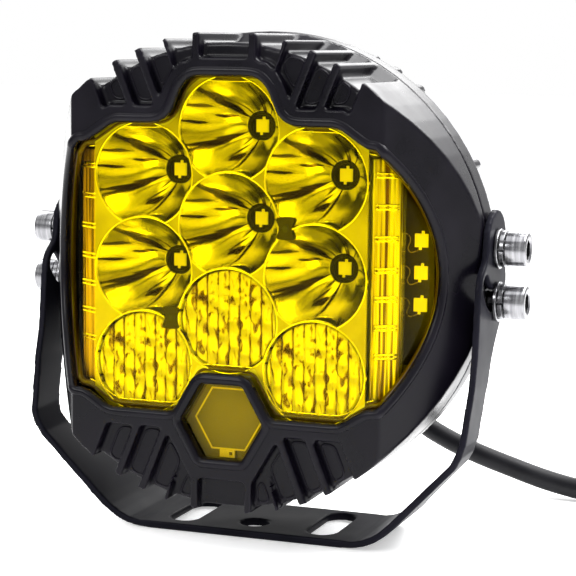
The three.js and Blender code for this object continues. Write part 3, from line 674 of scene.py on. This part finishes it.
def make_rims():
    """The thin bright lip round each cup, left out where another cup stands in front."""
    parts = []
    for own in CUPS:
        spots = circle(own[0], own[1], CUP_R, RIM_STEPS)
        shown = [not inside_front_cup(x, z, own, CUP_R - 0.1) and badge_reach(x, z) > BADGE_CLEAR_R
                 for x, z in spots]
        start = next((k for k in range(RIM_STEPS) if shown[k] and not shown[k - 1]), 0)
        for run in stretches(spots[start:] + spots[:start], shown[start:] + shown[:start]):
            if len(run) == RIM_STEPS:
                run.append(run[0])
            if len(run) > 3:
                path = [place(x, CUP_RIM_Y, z) for x, z in run]
                parts.append(tube_data(path, RIM_WIRE_R * MM, 10))
    rims = from_data("reflector_rims", *join_data(parts), RIM)
    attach(rims, "head")


PLUG_HALF = [(0, 4.3), (3.2, 4), (3.7, 3.1), (2.5, 0.5), (2.5, -0.7), (3.5, -3.2), (3, -4), (0, -4.2)]
PLUG_FRONT, PLUG_BACK = CUP_RIM_Y - 0.75, CUP_RIM_Y + 2
PLUG_SCREW = [(0.01, CUP_RIM_Y - 0.95), (1.2, CUP_RIM_Y - 0.95), (1.5, CUP_RIM_Y - 0.7),
              (1.5, CUP_RIM_Y)]


def make_plugs():
    """A dark waisted block in painted shade, one on each side, standing in for the recess that holds the
    panel's fixing screw.
    """
    outline = PLUG_HALF + [(-x, z) for x, z in reversed(PLUG_HALF[1:-1])]
    count = len(outline)
    parts = []
    for x, z in RECESSES:
        points = [place(x + u, y, z + v) for y in (PLUG_FRONT, PLUG_BACK) for u, v in outline]
        faces = [tuple(range(count)), tuple(range(count, 2 * count))]
        faces += ring_faces(2, count)
        parts.append((points, faces))
        parts.append(turned_at(PLUG_SCREW, x, z, 32))
    plugs = from_data("panel_recess_painted_shade", *join_data(parts), BLACK_AND_PAINTED_SHADE, smooth=False)
    add_bevel(plugs, 0.2)
    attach(plugs, "head")


make_cups()
panel = make_panel()
make_rims()
make_plugs()
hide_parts("reflector_panel")

# ---- light sources

LED_Y = 41.5
CHIP_SIZE, SIDE_CHIP_SIZE = 4.9, 5
CHIP_BASE, CHIP_FACE, CHIP_INSET = 1.2, 1.55, 0.35
TAB_SHIFT, TAB_HALF_X, TAB_HALF_Z, TAB_T = 0.5, 0.5, 0.55, 0.9
SIDE_LED_X, SIDE_LED_Y = 66.5, 32.7
SIDE_LED_HEIGHTS = (13, 1, -11)
WIRE_R = 0.2
WIRE_ROUTE = [(61, 25, 2.6), (61.6, 28, 2.8), (62.6, 30, 1.4), (62.4, 31, -0.6), (61.4, 31.6, -3),
              (62.6, 32.2, -4.6), (65.6, 32.8, -3.4)]
SOCKET_PROFILE = [(0.01, 41.6), (0.01, 41.3), (4.3, 41.3), (4.5, 39.8), (5.6, 39.6), (5.6, 41.6)]


def pad(x, z, half_x, half_z, front, back):
    """A block by its middle and half sizes, from one depth to another."""
    return block_data((x - half_x, front, z - half_z), (x + half_x, back, z + half_z))


def chip_data(x, y, z, size):
    """An LED package: a square phosphor face on a base, with a solder tab above and below."""
    half = size / 2
    face = half - CHIP_INSET
    parts = [pad(x, z, half, half, y - CHIP_BASE, y),
             pad(x, z, face, face, y - CHIP_FACE, y - CHIP_BASE + 0.1)]
    for side in (-1, 1):
        parts.append(pad(x + side * TAB_SHIFT, z + side * (half + TAB_SHIFT), TAB_HALF_X, TAB_HALF_Z,
                         y - TAB_T, y))
    return join_data(parts)


def make_chip(name, node, spot, size, material):
    chip = from_data(name, *chip_data(*spot, size), material, smooth=False)
    add_bevel(chip, 0.12)
    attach(chip, "head")
    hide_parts(node)


def make_chips():
    for i, (x, z, _) in enumerate(CUPS):
        make_chip(f"led_package_{i + 1}", f"led_{i + 1}", (x, LED_Y, z), CHIP_SIZE, PAINTED_GLOW_PHOSPHOR)
    for side, name in SIDES:
        for i, z in enumerate(SIDE_LED_HEIGHTS):
            spot = (side * SIDE_LED_X, SIDE_LED_Y, z)
            make_chip(f"side_package_{i + 1}_{name}", f"side_led_{i + 1}_{name}", spot,
                      SIDE_CHIP_SIZE, SIDE_PHOSPHOR_PAINTED_GLOW)


def make_wires():
    """A thin curled wire by each side LED, from the light bar to its solder tab."""
    for side, name in SIDES:
        parts = []
        for z in SIDE_LED_HEIGHTS:
            path = catmull_rom([place(side * x, y, z + lift) for x, y, lift in WIRE_ROUTE], 8)
            parts.append(tube_data(path, WIRE_R * MM, 8))
        wires = from_data(f"side_wires_{name}", *join_data(parts), WIRE)
        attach(wires, "head")


def make_sockets():
    """The dark ring and floor that each LED sits in at the bottom of its cup."""
    parts = [turned_at(SOCKET_PROFILE, x, z, 64) for x, z, _ in CUPS]
    sockets = from_data("led_sockets", *join_data(parts), BLACK_AND_PAINTED_SHADE, smooth=False)
    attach(sockets, "head")


make_chips()
make_wires()
make_sockets()

# ---- spread optics and light guides

OPTIC_R, OPTIC_GAP = 18.7, 0.8
OPTIC_RINGS, OPTIC_SIDES = 44, 168
OPTIC_EDGE_Y, OPTIC_BACK_Y = CUP_RIM_Y + 1.9, CUP_RIM_Y + 3.1
VALLEY_Y, FLUTE_RISE = CUP_RIM_Y + 1.7, 1.3
FLUTE, CELL, STAGGER = 4.3, 9.5, 2.6


def cell_place(x, z):
    """A point's place among the optic's cells: flutes across, staggered cells along."""
    column = math.floor(x / FLUTE)
    shift = 0 if z > CELL else STAGGER * (column % 3)
    return x / FLUTE, (z + shift + 4 * CELL) / CELL


def optic_front(x, z):
    """Depth of an optic's fluted face: convex upright flutes, broken into staggered cells."""
    u, v = cell_place(x, z)
    across = u % 1 * 2 - 1
    along = v % 1 * 2 - 1
    bulge = 1 - abs(across) ** 3 - (0.3 * along ** 2 if z < CELL else 0.1)
    return VALLEY_Y - FLUTE_RISE * bulge


def optic_data(own):
    """An optic's points and faces: fluted in front, flat behind, cut where its cup is cut."""
    angles = [2 * math.pi * k / OPTIC_SIDES for k in range(OPTIC_SIDES)]
    limits = [min(OPTIC_R, cup_limit(own, angle) - OPTIC_GAP) for angle in angles]
    per_face = OPTIC_RINGS * OPTIC_SIDES
    points, faces = [], []
    for face in (0, 1):
        for ring in range(1, OPTIC_RINGS + 1):
            for angle, limit in zip(angles, limits):
                radius = limit * ring / OPTIC_RINGS
                u, v = radius * math.cos(angle), radius * math.sin(angle)
                front = OPTIC_EDGE_Y if ring == OPTIC_RINGS else optic_front(u, v)
                points.append(place(own[0] + u, OPTIC_BACK_Y if face else front, own[1] + v))
        start = face * per_face
        faces += ring_faces(OPTIC_RINGS, OPTIC_SIDES, start=start)
        faces.append(tuple(range(start, start + OPTIC_SIDES)))
    last = per_face - OPTIC_SIDES
    for k in range(OPTIC_SIDES):
        a, b = last + k, last + (k + 1) % OPTIC_SIDES
        faces.append((a, b, b + per_face, a + per_face))
    return points, faces


def make_optics():
    lowest = [own for own in CUPS if own[2] == 2]
    for name, own in zip(("left", "centre", "right"), lowest):
        optic = from_data(f"fluted_optic_{name}", *optic_data(own), OPTIC)
        layer = optic.data.uv_layers.new(name="cell")
        middle = place(own[0], 0, own[1])
        for loop in optic.data.loops:
            at = (optic.data.vertices[loop.vertex_index].co - middle) / MM
            layer.data[loop.index].uv = cell_place(at.x, at.z)
        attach(optic, "head")
        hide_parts(f"spread_optic_{name}")


make_optics()

MARK_HEIGHTS = (38, 26.5, 15, 3.5, -7, -17.5, -28)
MARK_SHARES = (0.12, 0.4, 0.7, 0.95)
MARK_GAP, MARK_R, MARK_LIFT = 0.7, 0.45, 0.5
GUIDE_X, GUIDE_W = 54.2, 9.2
GUIDE_Y, GUIDE_SLOPE, GUIDE_BACK_Y = 9.6, 5.6, 22
GUIDE_HALF, GUIDE_FLUTE = 44, 0.8
GUIDE_COLUMNS, GUIDE_ROWS = 40, 220


def guide_front(share, z):
    """Depth of a light guide's face: upright flutes, and a raised cross mark at set heights."""
    flute = GUIDE_FLUTE * abs(math.sin(share * 6 * math.pi))
    near = min(abs(z - mark) for mark in MARK_HEIGHTS)
    mark = MARK_R * max(0, 1 - near / 1.2) if 0.15 < share < 0.85 else 0
    return GUIDE_Y + GUIDE_SLOPE * share - flute - mark


def guide_grid(side, depth):
    """One face of a light guide, row by row; depth(share, z) says how far back each point is."""
    points = []
    for row in range(GUIDE_ROWS + 1):
        z = -GUIDE_HALF + 2 * GUIDE_HALF * row / GUIDE_ROWS
        for column in range(GUIDE_COLUMNS + 1):
            share = column / GUIDE_COLUMNS
            points.append(place(side * (GUIDE_X + GUIDE_W * share), depth(share, z), z))
    return points


def guide_faces():
    """The quads of the front and back grids, and of the border that joins them."""
    wide = GUIDE_COLUMNS + 1
    count = wide * (GUIDE_ROWS + 1)
    faces = []
    for layer in (0, count):
        for row in range(GUIDE_ROWS):
            for column in range(GUIDE_COLUMNS):
                a = layer + row * wide + column
                faces.append((a, a + 1, a + 1 + wide, a + wide))
    loop = list(range(GUIDE_COLUMNS))
    loop += [GUIDE_COLUMNS + row * wide for row in range(GUIDE_ROWS)]
    loop += [GUIDE_ROWS * wide + column for column in range(GUIDE_COLUMNS, 0, -1)]
    loop += [row * wide for row in range(GUIDE_ROWS, 0, -1)]
    for a, b in zip(loop, loop[1:] + loop[:1]):
        faces.append((a, b, b + count, a + count))
    return faces


def mark_data(side, z):
    """A thin bar across a light guide, following its slope."""
    path = [place(side * (GUIDE_X + GUIDE_W * share), GUIDE_Y - MARK_LIFT + GUIDE_SLOPE * share, z)
            for share in MARK_SHARES]
    return tube_data(path, MARK_R * MM, 10)


def make_guides():
    for side, name in SIDES:
        points = guide_grid(side, guide_front) + guide_grid(side, lambda share, z: GUIDE_BACK_Y)
        # The left bar takes the copy in painted shade.
        material = PAINTED_LIT_GUIDE if side > 0 else PAINTED_SHADE_GUIDE
        guide = from_data(f"light_bar_{name}", points, guide_faces(), material)
        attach(guide, "head")
        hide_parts(f"light_guide_{name}")
        bars = [mark_data(side, z + lift) for z in MARK_HEIGHTS for lift in (-MARK_GAP, MARK_GAP)]
        marks = from_data(f"light_bar_marks_{name}", *join_data(bars), RIM)
        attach(marks, "head")


make_guides()

# ---- bolts and washers

BOLT_HEIGHTS = {"pivot": PIVOT.z, "lock": PIVOT.z - 20}
EAR_X, WASHER_T, WASHER_EDGE = 90.0, 1.4, 0.2
WASHER_IN_R, WASHER_OUT_R = 4.2, 7.6
SPRING_X, SPRING_OUT_R, SPRING_HALF_T, SPRING_FLAT = 92.65, 6.9, 0.833, 0.735
SPRING_STEPS, SPRING_GAP, SPRING_SHIFT = 72, math.radians(8), 0.1
BOLT_HEAD_X, BOLT_END_X = 93.9, 101.9
BOLT_HEAD_R, SHANK_R, SHANK_LENGTH = 6.5, 3.8, 17.9
SOCKET_HALF, SOCKET_DEPTH = 3.45, 4

def bolt_data(to_point, start, end):
    """A socket cap screw's shank and head, with rounded rim and a hexagonal socket."""
    tip, r = start - SHANK_LENGTH, BOLT_HEAD_R
    shank = [(0.01, tip), (SHANK_R - 0.4, tip), (SHANK_R, tip + 0.9), (SHANK_R, start), (0.01, start)]
    floor = end - SOCKET_DEPTH
    ring = [(3.9, floor), (0.01, floor), (0.01, start), (r - 0.3, start), (r, start + 0.3)]
    ring += [(r, end - 0.9), (r - 0.15, end - 0.45), (r - 0.5, end - 0.12), (r - 1, end), (4.4, end),
             (3.95, end - 0.45)]
    sides = 96
    points, faces = lathe_data(ring, to_point, sides)
    for k in range(sides):
        a = 2 * math.pi * k / sides
        hexagon = SOCKET_HALF / math.cos((a + math.pi / 6) % (math.pi / 3) - math.pi / 6)
        for i, depth in ((0, floor), (len(ring) - 1, end - 0.5)):
            points[k * len(ring) + i] = to_point(hexagon * math.cos(a), hexagon * math.sin(a), depth)
    return join_data([lathe_data(shank, to_point, 48), (points, faces)])


def washer_data(to_point):
    out, back, edge = WASHER_OUT_R, EAR_X + WASHER_T, WASHER_EDGE
    section = [(WASHER_IN_R, EAR_X), (out - edge, EAR_X), (out, EAR_X + edge), (out, back - edge),
               (out - edge, back), (WASHER_IN_R, back)]
    return lathe_data(section, to_point, 72)


def make_bolts():
    for side, name in SIDES:
        for which, z in BOLT_HEIGHTS.items():
            def to_point(u, v, x, side=side, z=z):
                return place(side * x, PIVOT.y + u, z + v)
            bolt = from_data(f"{which}_screw_{name}", *bolt_data(to_point, BOLT_HEAD_X, BOLT_END_X),
                             STEEL)
            flat = from_data(f"{which}_washer_{name}", *washer_data(to_point), STEEL)
            spring = from_data(f"{which}_lock_washer_{name}", *spring_data(to_point), STEEL)
            for piece, node in ((bolt, "bolt"), (flat, "flat_washer"), (spring, "spring_washer")):
                add_bevel(piece, 0.15, 40)
                piece.modifiers["soft_edges"].harden_normals = True
                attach(piece, "head")
                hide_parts(f"{which}_{node}_{name}")


def spring_data(to_point):
    """A split ring, its two ends a little apart across the split."""
    out, half, flat = SPRING_OUT_R, SPRING_HALF_T, SPRING_FLAT
    section = [(WASHER_IN_R, -half), (out - 0.1, -half), (out, -flat), (out, flat),
               (out - 0.1, half), (WASHER_IN_R, half)]
    points = []
    for k in range(SPRING_STEPS + 1):
        share = k / SPRING_STEPS
        a = math.pi + SPRING_GAP / 2 + (2 * math.pi - SPRING_GAP) * share
        middle = SPRING_X + SPRING_SHIFT * (share - 0.5)
        points += [to_point(r * math.cos(a), r * math.sin(a), middle + x) for r, x in section]
    count, last = len(section), SPRING_STEPS * len(section)
    ends = [tuple(range(count)), tuple(range(last, last + count))]
    return points, ring_faces(SPRING_STEPS + 1, count) + ends


make_bolts()

# ---- beads round the windows

FOLD_X, RIM_Y, HEAD_R = 61, 44, 89
BEVEL_SLOPE = RIM_Y / (HEAD_R - FOLD_X)


def face_depth(x):
    """Depth of the head's front at this distance from the middle: flat, then bevelled."""
    return max(0, abs(x) - FOLD_X) * BEVEL_SLOPE


def rounded_loop(corners, cut, steps=6):
    """A closed outline with each corner turned by a short curve."""
    loop = []
    for i, corner in enumerate(corners):
        here = Vector(corner)
        before = (Vector(corners[i - 1]) - here)
        after = (Vector(corners[(i + 1) % len(corners)]) - here)
        start = here + before.normalized() * min(cut, before.length * 0.45)
        end = here + after.normalized() * min(cut, after.length * 0.45)
        for k in range(steps + 1):
            t = k / steps
            loop.append(start * (1 - t) ** 2 + here * 2 * t * (1 - t) + end * t * t)
    return loop


WINDOW_R, WINDOW_TOP, WINDOW_BOTTOM = 76, 48.5, -46.5
NOTCH_Z, BADGE_FRAME_R = -53, 20
LOBE = [(0, 73.6), (10.5, 73.6), (13.8, 72.7), (16.8, 70), (18.8, 66.6), (20.3, 62.4), (22, 59.2),
        (24.6, 57), (28, 56)]


def window_loop(grow):
    """The window's outline in (x, z), grown: lobe, chamfers, side arcs and the badge's notch."""
    side_r = WINDOW_R + grow
    top, bottom = WINDOW_TOP + grow, WINDOW_BOTTOM - grow
    notch_z = NOTCH_Z - grow
    edge = 0.31 * grow
    half = []
    for i, (x, z) in enumerate(LOBE):
        before, after = Vector(LOBE[max(i - 1, 0)]), Vector(LOBE[min(i + 1, len(LOBE) - 1)])
        along = (after - before).normalized()
        half.append((x - along.y * grow if i else 0, z + along.x * grow))
    half += [(44 + edge, 56 + grow), (55 + edge, top)]
    start, end = math.asin(top / side_r), math.asin(bottom / side_r)
    for k in range(25):
        a = start + (end - start) * k / 24
        half.append((side_r * math.cos(a), side_r * math.sin(a)))
    half += [(56 + edge, bottom), (46 + edge, notch_z)]
    badge = BADGE_FRAME_R - grow * 2 / math.sqrt(3)
    half += [(badge - abs(notch_z - BADGE_Z) / math.sqrt(3), notch_z),
             (badge / 2, BADGE_Z + badge * math.sqrt(3) / 2)]
    return half + [(-x, z) for x, z in reversed(half[1:])]


BAND = window_loop(6.4)
BADGE_BAND_R = 26.5
BEAD_R, BEAD_GROW, BEAD_DEPTH = 1.9, 0.9, 1.1
RIDGE_LOOP_R, RIDGE_DEPTH = 18.4, 0.9


def dense(loop, step):
    """The closed outline again with a point at least every `step`."""
    points = []
    for a, b in zip(loop, loop[1:] + loop[:1]):
        count = max(1, math.ceil((b - a).length / step))
        points += [a.lerp(b, k / count) for k in range(count)]
    return points


def make_beads():
    """The rounded lips that stand round the big window and the badge."""
    window = dense(rounded_loop(window_loop(BEAD_GROW), 3.5), 1.0)
    lip = [place(p.x, face_depth(p.x) + BEAD_DEPTH, p.y) for p in window]
    badge = dense(rounded_loop(hexagon_points(RIDGE_LOOP_R), 2.5), 1.2)
    ridge = [place(p.x, RIDGE_DEPTH, p.y) for p in badge]
    data = join_data([loop_tube(path, BEAD_R * MM) for path in (lip, ridge)])
    beads = from_data("window_beads", *data, CAST)
    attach(beads, "head")


OUTLINE_DEPTH, OUTLINE_R = 4.7, 0.5
FIN_LEAN = math.tan(math.radians(22))
FIN_TIPS = {1: (12.6, 24.5, 35.6, 44.8, 52.8), -1: (12.2, 23.2, 33.8, 43.5, 52)}
POCKET_R = {1: 83.8, -1: 86}
POCKET_HEIGHTS = [50 + 0.25 * k for k in range(160)]
POCKET_SHORTEST = 4
INNER_INSET, OUTER_INSET = 0.9, -4.3


def inside_loop(loop, x, z):
    """True if the point lies inside the closed outline."""
    within = False
    for (ax, az), (bx, bz) in zip(loop, loop[1:] + loop[:1]):
        if (az > z) != (bz > z) and x < ax + (z - az) / (bz - az) * (bx - ax):
            within = not within
    return within


def on_band(x, z):
    """True on the smooth band round the window and the badge."""
    return inside_loop(BAND, x, z) or badge_reach(x, z) < BADGE_BAND_R


def fin_side(tip, lean, height, inset):
    """How far out a fin's side stands at this height; its tip lies on the head's round wall."""
    return tip + (height - math.sqrt(HEAD_R ** 2 - tip ** 2)) * lean + inset


def pocket_corners(up, inner_tip, outer_tip, first):
    """The floor panel of one pocket between two fins, or None where it is too short."""
    ends = []
    for tip, lean, inset in ((inner_tip, 0 if first else FIN_LEAN, INNER_INSET),
                             (outer_tip, FIN_LEAN, OUTER_INSET)):
        line = [(fin_side(tip, lean, height, inset), height) for height in POCKET_HEIGHTS]
        free = [height for x, height in line
                if not on_band(x, up * height) and math.hypot(x, height) < POCKET_R[up]]
        if not free or free[-1] - free[0] < POCKET_SHORTEST:
            return None
        ends.append([(fin_side(tip, lean, height, inset), up * height)
                     for height in (free[0] + 1, free[-1])])
    (low_in, high_in), (low_out, high_out) = ends
    return [low_in, low_out, high_out, high_in]


STEP_DEPTH, STEP_GROW, STEP_R = 6.9, -1.3, 1.25
EDGE_HALF, EDGE_GROW, EDGE_R = 57, -2.9, 0.32


def make_lens_border():
    """Behind the lens, the dark step round the window and the bright edge inside it."""
    outer = dense(rounded_loop(window_loop(STEP_GROW), 3), 1.0)
    path = [place(p.x, face_depth(p.x) + STEP_DEPTH, p.y) for p in outer]
    step = from_data("window_step", *loop_tube(path, STEP_R * MM, 16), STEP_BROWN)
    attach(step, "head")
    inner = dense(rounded_loop(window_loop(EDGE_GROW), 3), 1.0)
    inner.append(inner[0])
    parts = []
    for run in stretches(inner, [abs(p.x) < EDGE_HALF for p in inner]):
        path = [place(p.x, STEP_DEPTH, p.y) for p in run]
        parts.append(tube_data(path, EDGE_R * MM, 12))
    edge = from_data("window_edge", *join_data(parts), RIM)
    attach(edge, "head")


def make_pocket_panels():
    """A thin raised outline on the floor of each pocket."""
    parts = []
    for up, tips in FIN_TIPS.items():
        for i, (inner_tip, outer_tip) in enumerate(zip(tips, tips[1:])):
            corners = pocket_corners(up, inner_tip, outer_tip, i == 0)
            if corners:
                for mirror in (1, -1):
                    loop = rounded_loop([(mirror * x, z) for x, z in corners], 2.6)
                    path = [place(p.x, OUTLINE_DEPTH, p.y) for p in dense(loop, 0.8)]
                    parts.append(loop_tube(path, OUTLINE_R * MM, 10))
    outlines = from_data("pocket_outlines", *join_data(parts), CAST)
    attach(outlines, "head")


# ---- badge

BORDER_R, BORDER_W = 13.6, 0.7
BORDER_FRONT, BORDER_BACK = 7.9, 8.35


def hexagon_ring(outer, inner, front, back):
    points = []
    for i in range(6):
        for radius, depth in ((outer, front), (outer, back), (inner, back), (inner, front)):
            x, z = hexagon_points(radius)[i]
            points.append(place(x, depth, z))
    return points, ring_faces(6, 4, closed=True)


def make_badge():
    """A plain raised border stands on the plate in place of any lettering."""
    data = hexagon_ring(BORDER_R, BORDER_R - BORDER_W, BORDER_FRONT, BORDER_BACK)
    border = from_data("badge_border", *data, BADGE_MARK, smooth=False)
    add_bevel(border, 0.1)
    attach(border, "head")


make_badge()
make_beads()
make_lens_border()
make_pocket_panels()

# ---- materials of the other nodes


def dress_nodes():
    rounded = {"cable_gland": NYLON, "gland_nut": NYLON, "breather_vent": NYLON,
               "driver_choke": NYLON, "driver_capacitor": BARE}
    for name, material in rounded.items():
        round_off(NODES[name], FINE_VOXEL, 3)
        set_material(NODES[name], material)
    for i in range(1, 5):
        round_off(NODES[f"housing_screw_{i}"], 0.25, 2)
        set_material(NODES[f"housing_screw_{i}"], STEEL)
    plain = {"lens": LENS, "lens_gasket": RUBBER, "led_board": WHITE_BOARD, "thermal_pad": RUBBER,
             "heat_spreader": BARE, "side_board_right": DARK_BOARD, "side_board_left": DARK_BOARD,
             "badge_lens": BADGE_LENS, "badge_plate": OLIVE, "badge_clip": BADGE_MARK,
             "driver_board": WHITE_BOARD}
    for name, material in plain.items():
        shade_flat(NODES[name])
        set_material(NODES[name], material)


dress_nodes()

# ---- floor, light and background


LAMP_MIDDLE = (0, 40, 0)
FLOOR_SIZE, FLOOR_GAP = 12, 0.0003
WALL_GAP, WALL_PALE = (0.36, 0.36, 0.38, 1), (1.05, 1.05, 1.05, 1)


def area_light(name, at, size, power):
    data = bpy.data.lights.new(name, "AREA")
    data.shape = "RECTANGLE"
    data.size, data.size_y = size
    data.energy = power
    lamp = bpy.data.objects.new(name, data)
    bpy.context.scene.collection.objects.link(lamp)
    spot = place(*at)
    aim = place(*LAMP_MIDDLE) - spot
    lamp.matrix_world = Matrix.Translation(spot) @ aim.to_track_quat("-Z", "Y").to_matrix().to_4x4()


def make_floor():
    half = FLOOR_SIZE / 2
    corners = [(-half, -half, 0), (half, -half, 0), (half, half, 0), (-half, half, 0)]
    white = Shader("floor_white", (0.9, 0.9, 0.9), 0.7, Emission_Strength=0.42,
                   Emission_Color=(1, 1, 1, 1))
    shades = white.ramp(white.noise(8, 2), [(0, (0.89, 0.89, 0.89)), (1, (0.91, 0.91, 0.91))])
    white.link(shades, "Base Color")
    floor = new_object("floor", plain_mesh("floor", corners, [(0, 1, 2, 3)], white.material))
    floor.location.z = cad_low.z - FLOOR_GAP


def make_world():
    """White where the camera looks, and elsewhere pale studio walls with soft dark gaps."""
    world = bpy.data.worlds.new("studio")
    bpy.context.scene.world = world
    world.use_nodes = True
    tree = world.node_tree
    tree.nodes.clear()
    around = add_node(tree, "ShaderNodeTexCoord")
    walls = add_node(tree, "ShaderNodeTexNoise",
                     {"Scale": 1.7, "Detail": 1.0, "Vector": around.outputs["Generated"]})
    shades = add_node(tree, "ShaderNodeValToRGB", {"Fac": walls.outputs["Fac"]})
    for stop, position, color in zip(shades.color_ramp.elements, (0.42, 0.5), (WALL_GAP, WALL_PALE)):
        stop.position = position
        stop.color = color
    path = add_node(tree, "ShaderNodeLightPath")
    seen = add_node(tree, "ShaderNodeMix", {"B": (1, 1, 1, 1), "Factor": path.outputs["Is Camera Ray"],
                                            "A": shades.outputs["Color"]}, data_type="RGBA")
    background = add_node(tree, "ShaderNodeBackground", {"Color": seen.outputs["Result"]})
    add_node(tree, "ShaderNodeOutputWorld", {"Surface": background.outputs[0]})


make_floor()
make_world()
area_light("key_top_right", (360, 260, 620), (0.7, 0.5), 16)
area_light("top_box", (0, -60, 640), (0.9, 0.5), 3)
area_light("front_box", (-260, -620, 420), (0.3, 0.22), 3)
area_light("back_box", (140, 900, 460), (0.7, 0.25), 4)
area_light("left_back", (-420, 260, 160), (0.3, 0.5), 2)
bpy.context.scene.view_settings.view_transform = "Standard"
